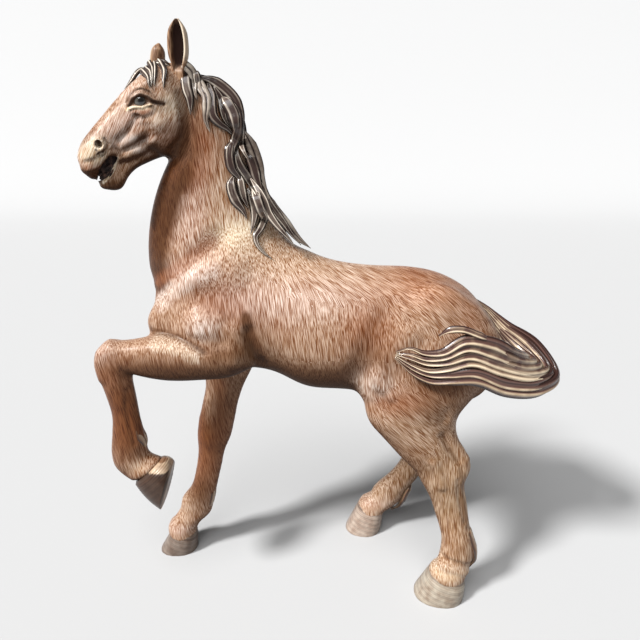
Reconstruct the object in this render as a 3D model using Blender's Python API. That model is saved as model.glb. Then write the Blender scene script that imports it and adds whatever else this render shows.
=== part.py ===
"""A standing horse in glazed ceramic, cast as one piece.

The horse faces -X with its left side towards -Y. Its left foreleg is raised, and it stands on
the other three hooves at z = 0. Sizes in the tables are millimetres, in the side view (x, z) with
y across the body. Each body part is a loft of oval rings. The lofts are melted together by a
voxel remesh, smoothed, thinned to a faceted solid and cut flat under the hooves.
"""

import math

import bmesh
import bpy
import numpy as np
from mathutils import Matrix, Vector
from mathutils.bvhtree import BVHTree

MM = 0.001
RING = 28  # points round one ring of a loft
SPAN = 6  # rings between two stations
FACETS = 9400  # triangles of the finished solid
CENTRE = (10.7, -1.7)  # middle of the horse's footprint box in the tables' x and y

HEAD_TURN = 22  # degrees the head looks to its left
POLL = Vector((-118, 0, 515))

# A station is (top or front x, z), (bottom or back x, z), y, half width, egg.
# A positive egg makes the first side of the oval the wider one.
TRUNK = [
    ((-157, 318), (-154, 286), 0, 26, 0.0),
    ((-141, 346), (-140, 264), 0, 42, 0.0),
    ((-112, 364), (-112, 254), 0, 50, 0.0),
    ((-78, 372), (-80, 252), 0, 52, -0.05),
    ((-45, 374), (-47, 248), 0, 54, -0.15),
    ((-15, 369), (-15, 232), 0, 58, -0.15),
    ((20, 359), (18, 229), 0, 60, -0.10),
    ((55, 355), (50, 227), 0, 58, -0.05),
    ((88, 354), (84, 234), 0, 54, 0.0),
    ((118, 348), (115, 246), 0, 50, 0.0),
    ((146, 333), (142, 253), 0, 42, 0.0),
    ((169, 308), (164, 262), 0, 28, 0.0),
]
NECK = [
    ((-158, 290), (-5, 368), 0, 45, 0.0),
    ((-161, 318), (-26, 377), 0, 41, 0.0),
    ((-167, 352), (-40, 393), 0, 36, 0.05),
    ((-165, 386), (-53, 416), 0, 31, 0.05),
    ((-158, 414), (-62, 441), 0, 27.5, 0.05),
    ((-148, 438), (-67, 464), 0, 25, 0.05),
    ((-136, 460), (-74, 487), 0, 23, 0.0),
    ((-130, 485), (-85, 508), 0, 20, 0.0),
    ((-128, 505), (-101, 521), 0, 17, 0.0),
]
SKULL = [
    ((-117, 531), (-108, 494), 0, 15, 0.0),
    ((-131, 534), (-113, 474), 0, 19, 0.0),
    ((-144, 532), (-124, 463), 0, 22.5, 0.1),
    ((-155, 524), (-138, 460), 0, 23.5, 0.15),
    ((-167, 513), (-151, 459), 0, 21, 0.15),
    ((-179, 502), (-163, 459), 0, 17.5, 0.0),
    ((-191, 489), (-177, 459), 0, 15.5, 0.0),
    ((-202, 477), (-188, 453), 0, 15, 0.0),
    ((-210, 467), (-195, 446), 0, 15, 0.0),
    ((-214, 457), (-203, 437), 0, 13, 0.0),
]
JAW = [
    ((-140, 474), (-140, 458), 0, 12, 0.0),
    ((-158, 465), (-156, 452), 0, 12, 0.0),
    ((-171, 459), (-168, 446), 0, 11.5, 0.0),
    ((-180, 451), (-175, 439), 0, 10, 0.0),
    ((-186, 443), (-180, 431), 0, 10, 0.0),
    ((-193, 436), (-186, 428), 0, 9.5, 0.0),
    ((-198, 434), (-194, 429), 0, 8, 0.0),
]
TONGUE = [
    ((-168, 462), (-168, 448), 0, 6.5, 0.0),
    ((-180, 459), (-177, 444), 0, 6, 0.0),
    ((-188, 455), (-184, 437), 0, 5.5, 0.0),
    ((-195, 448), (-190, 433), 0, 5, 0.0),
]
SHOULDER = [
    ((-98, 358), (-44, 352), 24, 14, 0.0),
    ((-128, 336), (-50, 326), 30, 19, 0.0),
    ((-146, 314), (-58, 302), 33, 22, -0.1),
    ((-140, 292), (-60, 276), 35, 22, -0.1),
    ((-122, 276), (-66, 262), 35, 18, 0.0),
]
HAUNCH = [
    ((98, 343), (158, 318), 22, 25, 0.0),
    ((74, 316), (174, 294), 28, 28, 0.0),
    ((56, 282), (176, 272), 34, 29, 0.0),
    ((43, 252), (164, 252), 39, 26, 0.0),
]
RAISED_FOREARM = [
    ((-72, 302), (-58, 268), -38, 20, 0.0),
    ((-98, 299), (-84, 256), -41, 23, 0.1),
    ((-128, 299), (-114, 253), -43, 21, 0.1),
    ((-156, 297), (-146, 252), -43, 18, 0.1),
    ((-180, 293), (-170, 256), -42, 15.5, 0.0),
    ((-197, 291), (-182, 260), -42, 14, 0.0),
]
RAISED_CANNON = [
    ((-202, 293), (-176, 274), -42, 13, 0.0),
    ((-213, 281), (-180, 262), -42, 14, 0.0),
    ((-214, 263), (-181, 251), -42, 13, 0.0),
    ((-209, 238), (-180, 236), -42, 11, 0.0),
    ((-206, 215), (-179, 213), -41, 10, 0.0),
    ((-209, 190), (-177, 195), -41, 10.5, 0.0),
    ((-212, 172), (-176, 180), -40, 12.5, 0.0),
    ((-211, 157), (-175, 170), -40, 12.5, 0.0),
    ((-203, 145), (-168, 165), -40, 12, 0.0),
    ((-195, 139), (-163, 163), -40, 14, 0.0),
]
FAR_FORELEG = [
    ((-130, 300), (-62, 285), 34, 22, 0.0),
    ((-132, 262), (-66, 255), 34, 21, 0.0),
    ((-131, 235), (-76, 232), 33, 19, 0.0),
    ((-129, 213), (-86, 212), 32, 16.5, 0.0),
    ((-134, 190), (-93, 192), 30, 14, 0.0),
    ((-140, 166), (-98, 170), 28, 14, 0.0),
    ((-142, 150), (-103, 150), 27, 14, 0.0),
    ((-142, 134), (-110, 134), 26, 11.5, 0.0),
    ((-146, 108), (-116, 110), 24, 10, 0.0),
    ((-153, 85), (-122, 86), 22, 10.5, 0.0),
    ((-165, 68), (-127, 66), 21, 13, 0.0),
    ((-168, 55), (-131, 51), 20, 12.5, 0.0),
    ((-177, 42), (-144, 38), 18, 12.5, 0.0),
    ((-184, 31), (-150, 27), 18, 15, 0.0),
    ((-184, 22), (-151, 18), 18, 16, 0.0),
]
NEAR_HIND_LEG = [
    ((56, 282), (170, 272), -35, 28, 0.0),
    ((42, 252), (164, 256), -39, 26, 0.0),
    ((43, 229), (151, 237), -42, 24, 0.0),
    ((48, 209), (138, 219), -44, 20, 0.0),
    ((64, 189), (134, 203), -45, 17, 0.0),
    ((82, 168), (137, 190), -46, 14.5, 0.0),
    ((98, 150), (145, 177), -46, 13.5, 0.0),
    ((106, 136), (153, 160), -47, 14, 0.0),
    ((114, 121), (148, 140), -48, 12, 0.0),
    ((120, 103), (152, 118), -49, 10.5, 0.0),
    ((125, 88), (156, 95), -50, 11, 0.0),
    ((129, 70), (162, 72), -51, 13, 0.0),
    ((128, 54), (164, 52), -52, 13, 0.0),
    ((125, 42), (160, 36), -52, 13, 0.0),
    ((119, 34), (158, 26), -52, 17, 0.0),
    ((118, 28), (156, 20), -52, 17.5, 0.0),
]
FAR_HIND_LEG = [
    ((52, 282), (166, 270), 35, 28, 0.0),
    ((42, 252), (156, 250), 39, 26, 0.0),
    ((42, 228), (144, 226), 42, 24, 0.0),
    ((52, 204), (140, 204), 44, 20, 0.0),
    ((68, 180), (142, 184), 45, 17, 0.0),
    ((86, 156), (146, 166), 46, 14.5, 0.0),
    ((98, 137), (150, 147), 47, 13.5, 0.0),
    ((103, 118), (147, 123), 48, 13, 0.0),
    ((98, 99), (131, 95), 49, 11, 0.0),
    ((85, 80), (119, 73), 50, 10.5, 0.0),
    ((73, 67), (109, 58), 51, 12, 0.0),
    ((66, 57), (103, 44), 52, 13, 0.0),
    ((62, 48), (92, 32), 52, 12.5, 0.0),
    ((51, 41), (82, 26), 52, 15, 0.0),
    ((48, 32), (80, 20), 52, 16, 0.0),
]

# Hoof stations, from the coronet to below the ground, or to the open sole of the raised one.
NEAR_HIND_HOOF = [
    ((119, 31), (155, 26), -52, 15, 0.0),
    ((116, 24), (157, 19), -52, 18.5, 0.0),
    ((110, 12), (157, 8), -52, 20.5, 0.0),
    ((103, -2), (156, -2), -52, 21, 0.0),
    ((101, -8), (156, -8), -52, 21.5, 0.0),
]
FAR_HIND_HOOF = [
    ((49, 36), (80, 29), 52, 14, 0.0),
    ((45, 26), (80, 19), 52, 17, 0.0),
    ((39, 12), (79, 8), 52, 19, 0.0),
    ((33, -2), (77, -2), 52, 20, 0.0),
    ((31, -8), (77, -8), 52, 20.5, 0.0),
]
FAR_FORE_HOOF = [
    ((-180, 26), (-150, 22), 18, 14, 0.0),
    ((-184, 19), (-150, 15), 18, 16.5, 0.0),
    ((-190, 8), (-151, 6), 18, 18, 0.0),
    ((-196, -2), (-151, -2), 18, 18, 0.0),
    ((-199, -8), (-151, -8), 18, 18.5, 0.0),
]
RAISED_HOOF = [
    ((-191, 135), (-160, 162), -40, 15, 0.0),
    ((-186, 127), (-157, 161), -40, 17.5, 0.0),
    ((-177, 116), (-154, 158), -40, 20, 0.0),
    ((-166, 106), (-153, 155), -40, 21, 0.0),
]
TOE_TURN = {"near_hind_hoof": 10, "far_hind_hoof": 12, "far_fore_hoof": 0, "raised_hoof": 0}

# Swellings: centre, radii and tilt in the side view. Those of a pair are at +y and -y.
MUSCLES = [
    ((-143, 20, 303), (26, 23, 24), 0),
    ((-108, 38, 306), (32, 18, 28), -20),
    ((-76, 38, 288), (24, 20, 30), 15),
    ((-104, 28, 338), (30, 15, 48), -30),
    ((64, 38, 246), (28, 22, 40), -20),
    ((108, 32, 306), (40, 24, 40), 25),
    ((146, 32, 268), (28, 24, 44), 8),
]

# A lock is its half width, its half thickness and its path of (x, y, z). On the mane and the
# forelock y counts only where a lock hangs free; elsewhere it is laid on the body below it.
CREST = [
    (-96, -2, 515), (-84, -2, 502), (-79, -2, 486), (-75, -2, 468), (-68, -2, 448), (-65, -2, 430),
    (-57, -2, 411), (-46, -2, 395), (-31, -2, 382), (-12, -2, 369), (4, -2, 360),
]
MANE = [
    (4.5, 3.5, [(-111, -16, 533), (-114, -22, 521), (-111, -22, 506), (-110, -22, 494)]),
    (4.5, 3.5, [(-110, -4, 533), (-106, -14, 523), (-102, -22, 510), (-101, -25, 500)]),
    (5.0, 3.6, [(-107, -4, 529), (-100, -18, 511), (-96, -24, 493), (-93, -28, 478)]),
    (5.0, 3.6, [(-104, -4, 524), (-94, -16, 508), (-89, -22, 492), (-83, -26, 483), (-76, -28, 475)]),
    (5.5, 4.2, [
        (-102, -4, 522), (-90, -10, 510), (-80, -16, 496), (-74, -20, 483), (-77, -28, 470),
        (-75, -30, 456), (-70, -30, 442), (-68, -32, 425), (-66, -34, 406),
    ]),
    (5.0, 3.8, [
        (-79, -28, 480), (-80, -31, 462), (-78, -33, 445), (-76, -34, 434), (-74, -35, 422),
        (-69, -36, 413), (-65, -36, 404),
    ]),
    (6.0, 5.0, [
        (-100, -2, 525), (-86, -3, 514), (-76, -4, 502), (-73, -6, 490), (-71, -10, 479),
        (-71, -14, 468), (-66, -18, 456), (-62, -20, 443),
    ]),
    (5.5, 5.0, [
        (-74, -4, 486), (-66, -4, 472), (-61, -5, 457), (-60, -5, 444), (-58, -5, 431),
        (-52, -5, 417), (-45, -6, 403),
    ]),
    (5.5, 4.5, [
        (-71, -14, 481), (-72, -22, 467), (-67, -22, 456), (-68, -26, 445), (-64, -28, 433),
        (-56, -28, 424), (-52, -28, 412), (-53, -30, 403), (-57, -34, 394), (-58, -36, 387),
        (-53, -38, 379), (-42, -38, 370),
    ]),
    (4.5, 3.6, [(-72, -28, 446), (-66, -30, 431), (-62, -32, 416), (-60, -34, 400)]),
    (5.0, 4.0, [(-58, -10, 433), (-52, -14, 417), (-43, -18, 403), (-33, -22, 391), (-22, -28, 375)]),
    (5.5, 4.5, [(-56, -3, 424), (-44, -3, 406), (-34, -4, 393), (-23, -5, 382), (-8, -8, 368)]),
    (4.5, 3.6, [(-58, -18, 429), (-51, -22, 412), (-42, -26, 400), (-34, -28, 391), (-26, -32, 380)]),
]
FORELOCK = [
    (3.2, 2.6, [(-140, -2, 537), (-150, -6, 531), (-157, -10, 522), (-161, -12, 512)]),
    (3.2, 2.6, [(-138, -2, 537), (-145, -8, 529), (-148, -12, 521), (-149, -14, 513)]),
    (3.2, 2.6, [(-136, -2, 537), (-141, -8, 528), (-143, -12, 519), (-143, -14, 511)]),
    (3.4, 2.6, [(-130, -4, 536), (-133, -8, 527), (-132, -12, 519), (-132, -14, 509)]),
    (3.0, 2.4, [(-141, 2, 536), (-151, 2, 529), (-160, 3, 520), (-166, 1, 511)]),
]

# The tail is a sheaf of strands between an upper and a lower guide, out from the dock, round to
# the left and forward along the thigh. Its width is laid out evenly between the two guides.
TAIL_UPPER = [
    (146, 0, 324), (162, -2, 311), (177, -8, 291), (190, -20, 275), (197, -40, 273), (178, -58, 283),
    (152, -68, 298), (128, -70, 302), (107, -71, 291), (92, -71, 291), (80, -70, 295), (69, -65, 290),
]
TAIL_LOWER = [
    (148, 0, 326), (166, -1, 315), (190, -6, 297), (217, -14, 279), (230, -36, 253), (207, -56, 248),
    (172, -67, 253), (140, -71, 265), (118, -71, 264), (101, -70, 263), (84, -69, 270), (68, -63, 283),
]
TAIL_STRANDS = 6
TAIL_CURL = [(152, -69, 302), (138, -71, 308), (124, -71, 313), (113, -70, 312), (105, -68, 306)]

# Ears: base centre, tip, half width, half depth and the direction their hollow faces.
EARS = [
    ("near_ear", (-119, -17, 526), (-117, -20, 564), 10.0, 7.0, (-0.3, -1, 0.1)),
    ("far_ear", (-145, 6, 529), (-141, 7, 551), 6.5, 6.0, (-0.3, 1, 0.1)),
]

# Tufts behind the fetlocks, as locks that lie across the body.
TUFTS = [
    (8.0, 5.0, [(150, -49, 96), (158, -51, 74), (164, -52, 55), (165, -52, 44), (160, -52, 36)]),
    (7.5, 4.5, [(116, 50, 72), (108, 50, 56), (104, 51, 43), (99, 51, 32), (91, 51, 28)]),
    (7.5, 4.0, [(-126, 22, 88), (-130, 21, 68), (-135, 20, 55), (-143, 19, 47)]),
    (8.0, 4.5, [(-185, -41, 208), (-182, -40, 192), (-178, -40, 180), (-181, -40, 171)]),
]


def hermite_rows(rows, per_span):
    """Smooth rows of numbers: a cubic through each row, with rings spaced evenly in each span."""
    rows = np.array(rows, float)
    reach = np.linalg.norm(np.diff(rows[:, :3], axis=0), axis=1)
    knots = np.concatenate([[0], np.cumsum(np.maximum(reach, 1e-6))])
    slopes = np.gradient(rows, knots, axis=0)
    made = []
    for i in range(len(rows) - 1):
        width = knots[i + 1] - knots[i]
        for t in np.arange(per_span) / per_span:
            a = 2 * t**3 - 3 * t**2 + 1
            b = t**3 - 2 * t**2 + t
            c = -2 * t**3 + 3 * t**2
            d = t**3 - t**2
            made.append(
                a * rows[i] + b * width * slopes[i] + c * rows[i + 1] + d * width * slopes[i + 1]
            )
    made.append(rows[-1])
    return made


def unit(vector):
    vector = np.array(vector, float)
    return vector / max(np.linalg.norm(vector), 1e-9)


def link(name, mesh):
    piece = bpy.data.objects.new(name, mesh)
    bpy.context.scene.collection.objects.link(piece)
    return piece


def skin_rings(name, rings):
    """One closed tube through rings of equal length, with its two ends filled."""
    count = len(rings[0])
    points = [Vector(p) * MM for ring in rings for p in ring]
    faces = []
    for i in range(len(rings) - 1):
        for k in range(count):
            j = (k + 1) % count
            faces.append((i * count + k, i * count + j, (i + 1) * count + j, (i + 1) * count + k))
    faces.append(tuple(reversed(range(count))))
    faces.append(tuple(range((len(rings) - 1) * count, len(rings) * count)))
    mesh = bpy.data.meshes.new(name)
    mesh.from_pydata(points, [], faces)
    shell = bmesh.new()
    shell.from_mesh(mesh)
    bmesh.ops.recalc_face_normals(shell, faces=shell.faces)
    shell.to_mesh(mesh)
    shell.free()
    return link(name, mesh)


def rounded(angle, power):
    """Cosine and sine of a superellipse; a power above 2 squares the oval."""
    c, s = math.cos(angle), math.sin(angle)
    c = math.copysign(abs(c) ** (2 / power), c)
    s = math.copysign(abs(s) ** (2 / power), s)
    return c, s


def oval(row, power=2.0, turn=0.0, shrink=1.0, shift=(0, 0, 0)):
    """One ring, from its two ends in the side view and its half width across the body."""
    a = np.array((row[0], row[4], row[1]), float)
    b = np.array((row[2], row[4], row[3]), float)
    middle, half = (a + b) / 2, (a - b) / 2
    spin = np.array(Matrix.Rotation(math.radians(-turn), 3, "Z"))
    ring = []
    for k in range(RING):
        c, s = rounded(2 * math.pi * k / RING, power)
        side = np.array((0, row[5] * (1 + row[6] * c) * s, 0))
        ring.append(middle + shrink * spin @ (half * c + side) + np.array(shift))
    return ring


def loft(name, stations, domes=(6, 6), mirror=False, power=2.0, turn=0.0):
    """A smooth body part through its stations, with each end rounded out by a dome."""
    rows = [(*s[0], *s[1], -s[2] if mirror else s[2], s[3], s[4]) for s in stations]
    smooth = hermite_rows(rows, SPAN)
    rings = [oval(row, power, turn) for row in smooth]
    middles = [np.mean(ring, axis=0) for ring in rings]
    for end, inner, dome in ((0, 1, domes[0]), (-1, -2, domes[1])):
        if not dome:
            continue
        outward = unit(middles[end] - middles[inner])
        cap = [
            oval(smooth[end], power, turn, math.cos(t), outward * dome * math.sin(t))
            for t in (math.radians(30), math.radians(60), math.radians(85))
        ]
        rings = cap[::-1] + rings if end == 0 else rings + cap
    return skin_rings(name, rings)


def muscle(name, centre, radii, tilt):
    """A swelling under the skin: a ball stretched to radii and tilted in the side view."""
    place = Matrix.Translation(Vector(centre) * MM)
    place = place @ Matrix.Rotation(math.radians(tilt), 4, "Y")
    place = place @ Matrix.Diagonal((radii[0] * MM, radii[1] * MM, radii[2] * MM, 1))
    ball = bmesh.new()
    bmesh.ops.create_icosphere(ball, subdivisions=3, radius=1.0, matrix=place)
    mesh = bpy.data.meshes.new(name)
    ball.to_mesh(mesh)
    ball.free()
    return link(name, mesh)


def lock(name, half_width, half_thick, path, outward, blunt=0.15):
    """A lock of hair: a flat tapering tube along its path, widest a third of the way down.

    A path point may carry a fourth number, its own half width.
    """
    points = hermite_rows(path, SPAN)
    rings = []
    for i, point in enumerate(points):
        t = i / (len(points) - 1)
        taper = max(min(1.0, 0.55 + 1.6 * t) * min(1.0, (1 - t) * 2.2) ** 0.7, blunt)
        ahead = points[min(i + 1, len(points) - 1)] - points[max(i - 1, 0)]
        out = outward(point) if callable(outward) else outward
        side = unit(np.cross(unit(ahead[:3]), out))
        out = unit(np.cross(side, unit(ahead[:3])))
        width = point[3] if len(point) > 3 else half_width
        ring = []
        for k in range(12):
            angle = 2 * math.pi * k / 12
            across = side * width * math.cos(angle) + out * half_thick * math.sin(angle)
            ring.append(point[:3] + taper * across)
        rings.append(ring)
    return skin_rings(name, rings)


def ear(name, base, tip, half_width, half_depth, facing):
    """A leaf-shaped ear, hollow on the side it faces."""
    base, tip = np.array(base, float), np.array(tip, float)
    axis = unit(tip - base)
    side = unit(np.cross(axis, facing))
    front = unit(np.cross(side, axis))
    arc = [math.radians(a) for a in range(-105, 106, 15)]
    heights = [-0.15, 0.0, 0.12, 0.25, 0.4, 0.55, 0.7, 0.82, 0.92, 1.0]
    widths = [0.6, 0.66, 0.78, 0.92, 1.0, 0.98, 0.84, 0.62, 0.36, 0.12]
    rings = []
    for t, swell in zip(heights, widths):
        width, depth = half_width * swell, half_depth * min(swell + 0.15, 1)
        hollow = min(max((t - 0.05) * 6, 0), 1) * min((1.05 - t) * 4, 1)
        middle = base + (tip - base) * t
        outer = [side * width * math.sin(a) - front * depth * math.cos(a) for a in arc]
        inner = []
        for a in reversed(arc):
            across = width * (0.9 - 0.2 * hollow) * math.sin(a)
            ahead = depth * (0.35 * (1 - hollow) - hollow * 0.5 * math.cos(a))
            inner.append(side * across + front * ahead)
        rings.append([middle + p for p in outer + inner])
    return skin_rings(name, rings)


def join(name, pieces):
    joined = bmesh.new()
    for piece in pieces:
        joined.from_mesh(piece.data)
        bpy.data.objects.remove(piece)
    mesh = bpy.data.meshes.new(name)
    joined.to_mesh(mesh)
    joined.free()
    return link(name, mesh)


def apply_modifiers(body):
    bpy.context.view_layer.update()
    graph = bpy.context.evaluated_depsgraph_get()
    shaped = bpy.data.meshes.new_from_object(body.evaluated_get(graph))
    body.modifiers.clear()
    body.data = shaped


def melt(name, pieces, voxel, passes):
    """Joins pieces into one skin by a voxel remesh, then smooths it all over."""
    body = join(name, pieces)
    remesh = body.modifiers.new("melt", "REMESH")
    remesh.mode = "VOXEL"
    remesh.voxel_size = voxel * MM
    smooth = body.modifiers.new("calm", "SMOOTH")
    smooth.factor = 0.5
    smooth.iterations = passes
    apply_modifiers(body)
    return body


def soften(body, passes, low, high, blend):
    """Smooths only the skin between two heights, fading in over the blend."""
    group = body.vertex_groups.new(name="soft")
    for vertex in body.data.vertices:
        z = vertex.co.z / MM
        weight = min((z - low) / blend, (high - z) / blend)
        group.add([vertex.index], min(max(weight, 0.0), 1.0), "REPLACE")
    smooth = body.modifiers.new("soften", "SMOOTH")
    smooth.factor = 0.5
    smooth.iterations = passes
    smooth.vertex_group = "soft"
    apply_modifiers(body)
    body.vertex_groups.clear()


def build_masses():
    pieces = [
        loft("trunk", TRUNK, domes=(10, 8)),
        loft("neck", NECK),
        loft("left_shoulder", SHOULDER, mirror=True),
        loft("right_shoulder", SHOULDER),
        loft("left_haunch", HAUNCH, mirror=True),
        loft("right_haunch", HAUNCH),
    ]
    for centre, radii, tilt in MUSCLES:
        for side in (-1, 1):
            pieces.append(muscle("muscle", (centre[0], side * centre[1], centre[2]), radii, tilt))
    return pieces


def build_legs():
    return [
        loft("raised_forearm", RAISED_FOREARM),
        loft("raised_cannon", RAISED_CANNON),
        loft("far_foreleg", FAR_FORELEG),
        loft("near_hind_leg", NEAR_HIND_LEG),
        loft("far_hind_leg", FAR_HIND_LEG),
    ]


def build_head():
    pieces = [
        loft("skull", SKULL, domes=(6, 3)),
        loft("jaw", JAW, domes=(6, 3)),
        loft("tongue", TONGUE, domes=(3, 3)),
    ]
    for side in (-1, 1):
        pieces.append(muscle("cheek", (-140, side * 10, 484), (24, 14, 27), 0))
        pieces.append(muscle("lip_muscle", (-166, side * 6, 467), (22, 9.5, 12), -35))
        pieces.append(muscle("brow", (-157, side * 14, 507), (13, 9, 8), -40))
    about = Matrix.Translation(POLL * MM)
    turn = about @ Matrix.Rotation(math.radians(HEAD_TURN), 4, "Z") @ about.inverted()
    for piece in pieces:
        piece.data.transform(turn)
    return pieces


def build_hooves():
    pieces = []
    for name, stations in (
        ("near_hind_hoof", NEAR_HIND_HOOF),
        ("far_hind_hoof", FAR_HIND_HOOF),
        ("far_fore_hoof", FAR_FORE_HOOF),
        ("raised_hoof", RAISED_HOOF),
    ):
        pieces.append(loft(name, stations, domes=(4, 0), power=2.3, turn=TOE_TURN[name]))
    return pieces


def build_ears():
    return [ear(*numbers) for numbers in EARS]


def build_tufts():
    return [lock("tuft", wide, thick, path, (1, 0, 0.2), blunt=0.4) for wide, thick, path in TUFTS]


def laid_on(body_tree, path, lift):
    """A path moved in y onto the near side of the body, where the body is behind it."""
    laid = []
    for x, y, z in path:
        start = Vector((x, -200, z)) * MM
        hit = body_tree.ray_cast(start, Vector((0, 1, 0)), 0.2)[0]
        on_body = hit.y / MM - lift if hit else y
        laid.append((x, min(y, on_body) if on_body > -8 else on_body, z))
    return laid


def build_hair(body):
    graph = bpy.context.evaluated_depsgraph_get()
    body_tree = BVHTree.FromObject(body, graph)
    pieces = [lock("crest", 6.0, 9.0, CREST, (0, -1, 0))]
    for half_width, half_thick, path in MANE:
        laid = laid_on(body_tree, path, half_thick * 0.35)
        pieces.append(lock("mane", half_width, half_thick, laid, (0, -1, 0)))
    for half_width, half_thick, path in FORELOCK:
        laid = laid_on(body_tree, path, half_thick * 0.3)
        pieces.append(lock("forelock", half_width, half_thick, laid, (-0.3, -1, 0.3)))
    return pieces


def away_from_loop(point):
    """Which way the tail's face looks: away from the upright axis it swings round."""
    return unit((max(point[0] - 170, 0), point[1] + 36, 0))


def build_tail():
    pieces = []
    upper, lower = np.array(TAIL_UPPER, float), np.array(TAIL_LOWER, float)
    spacing = np.linalg.norm(upper - lower, axis=1) / (TAIL_STRANDS - 1)
    for k in range(TAIL_STRANDS):
        u = k / (TAIL_STRANDS - 1)
        path = np.column_stack([upper * (1 - u) + lower * u, np.maximum(spacing * 0.62, 2.4)])
        pieces.append(lock("tail", 5.0, 5.5, path, away_from_loop, blunt=0.2))
    pieces.append(lock("tail_curl", 3.5, 4.0, TAIL_CURL, (0, -1, 0)))
    return pieces


def thin_out(body, target):
    """Collapses edges until the solid has at most the target number of triangles."""
    body.data.calc_loop_triangles()
    thin = body.modifiers.new("thin", "DECIMATE")
    thin.ratio = target / len(body.data.loop_triangles)
    thin.use_collapse_triangulate = True
    apply_modifiers(body)


def cut_soles(body):
    """Cuts the hooves flat at z = 0 and closes the cut faces."""
    shell = bmesh.new()
    shell.from_mesh(body.data)
    for vertex in shell.verts:
        if abs(vertex.co.z) < 0.8 * MM:
            vertex.co.z = 0.0
    parts = shell.verts[:] + shell.edges[:] + shell.faces[:]
    bmesh.ops.bisect_plane(
        shell, geom=parts, dist=1e-6, plane_co=(0, 0, 0), plane_no=(0, 0, -1), clear_outer=True
    )
    rim = [edge for edge in shell.edges if edge.is_boundary]
    bmesh.ops.holes_fill(shell, edges=rim)
    bmesh.ops.triangulate(shell, faces=[face for face in shell.faces if len(face.verts) > 3])
    bmesh.ops.recalc_face_normals(shell, faces=shell.faces)
    shell.to_mesh(body.data)
    shell.free()


def glaze(body):
    material = bpy.data.materials.new("brown glazed ceramic")
    material.use_nodes = True
    shader = material.node_tree.nodes["Principled BSDF"]
    shader.inputs["Base Color"].default_value = (0.20, 0.11, 0.07, 1)
    shader.inputs["Roughness"].default_value = 0.35
    body.data.materials.append(material)


def main():
    for old in list(bpy.data.objects):
        bpy.data.objects.remove(old)
    masses = melt("masses", build_masses(), 3.0, 30)
    body = melt("body", [masses] + build_legs() + build_head(), 2.0, 6)
    soften(body, 16, 225, 420, 30)
    details = build_hair(body) + build_tail() + build_hooves() + build_ears() + build_tufts()
    horse = melt("horse", [body] + details, 1.5, 2)
    thin_out(horse, FACETS)
    cut_soles(horse)
    horse.data.transform(Matrix.Translation((-CENTRE[0] * MM, -CENTRE[1] * MM, 0)))
    glaze(horse)


main()
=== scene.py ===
import math
import random

import bmesh
import bpy
import numpy as np
from mathutils import Matrix, Vector
from mathutils.bvhtree import BVHTree


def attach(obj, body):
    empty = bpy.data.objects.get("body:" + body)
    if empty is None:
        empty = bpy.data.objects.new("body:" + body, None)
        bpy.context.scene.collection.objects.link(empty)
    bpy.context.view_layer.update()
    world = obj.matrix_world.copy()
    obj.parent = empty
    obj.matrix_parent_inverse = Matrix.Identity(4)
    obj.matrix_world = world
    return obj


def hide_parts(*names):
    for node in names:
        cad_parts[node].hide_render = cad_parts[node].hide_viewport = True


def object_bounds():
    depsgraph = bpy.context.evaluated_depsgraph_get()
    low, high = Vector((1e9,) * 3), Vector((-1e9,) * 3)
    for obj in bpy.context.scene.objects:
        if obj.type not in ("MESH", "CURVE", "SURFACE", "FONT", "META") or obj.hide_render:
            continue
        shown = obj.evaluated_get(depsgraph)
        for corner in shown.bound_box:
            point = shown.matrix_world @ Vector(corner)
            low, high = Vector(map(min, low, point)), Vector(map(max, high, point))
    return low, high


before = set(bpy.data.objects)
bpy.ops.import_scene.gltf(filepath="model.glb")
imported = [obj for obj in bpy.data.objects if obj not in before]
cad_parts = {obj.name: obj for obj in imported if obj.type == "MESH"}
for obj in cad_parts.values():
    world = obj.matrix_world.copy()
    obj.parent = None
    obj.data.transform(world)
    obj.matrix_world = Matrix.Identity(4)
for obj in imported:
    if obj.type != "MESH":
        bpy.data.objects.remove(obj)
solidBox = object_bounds()

mm = 0.001  # measures below are in mm: x towards the tail, y away from the near side, z up
footMiddle = (10.7, -1.7)  # middle of the footprint, which finishPiece moves to the origin
headTurn = {"angle": 22, "poll": (-118.0, 0.0, 515.0)}  # degrees to its left, and the point it turns about


def pick(*pieces):
    for thing in bpy.context.selected_objects:
        thing.select_set(False)
    for piece in pieces:
        piece.select_set(True)
    bpy.context.view_layer.objects.active = pieces[0]


def applyAll(piece):
    pick(piece)
    for modifier in list(piece.modifiers):
        bpy.ops.object.modifier_apply(modifier=modifier.name)


def joinAll(name, pieces):
    pick(*pieces)
    if len(pieces) > 1:
        bpy.ops.object.join()
    pieces[0].name = name
    pieces[0].data.name = name
    return pieces[0]


def newPiece(name, points, faces):
    mesh = bpy.data.meshes.new(name)
    mesh.from_pydata([Vector(p) * mm for p in points], [], faces)
    piece = bpy.data.objects.new(name, mesh)
    bpy.context.scene.collection.objects.link(piece)
    return piece


def faceOutward(piece):
    pick(piece)
    bpy.ops.object.mode_set(mode="EDIT")
    bpy.ops.mesh.select_all(action="SELECT")
    bpy.ops.mesh.normals_make_consistent(inside=False)
    bpy.ops.object.mode_set(mode="OBJECT")


def unit(v):
    v = np.array(v, float)
    return v / max(np.linalg.norm(v), 1e-9)


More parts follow.
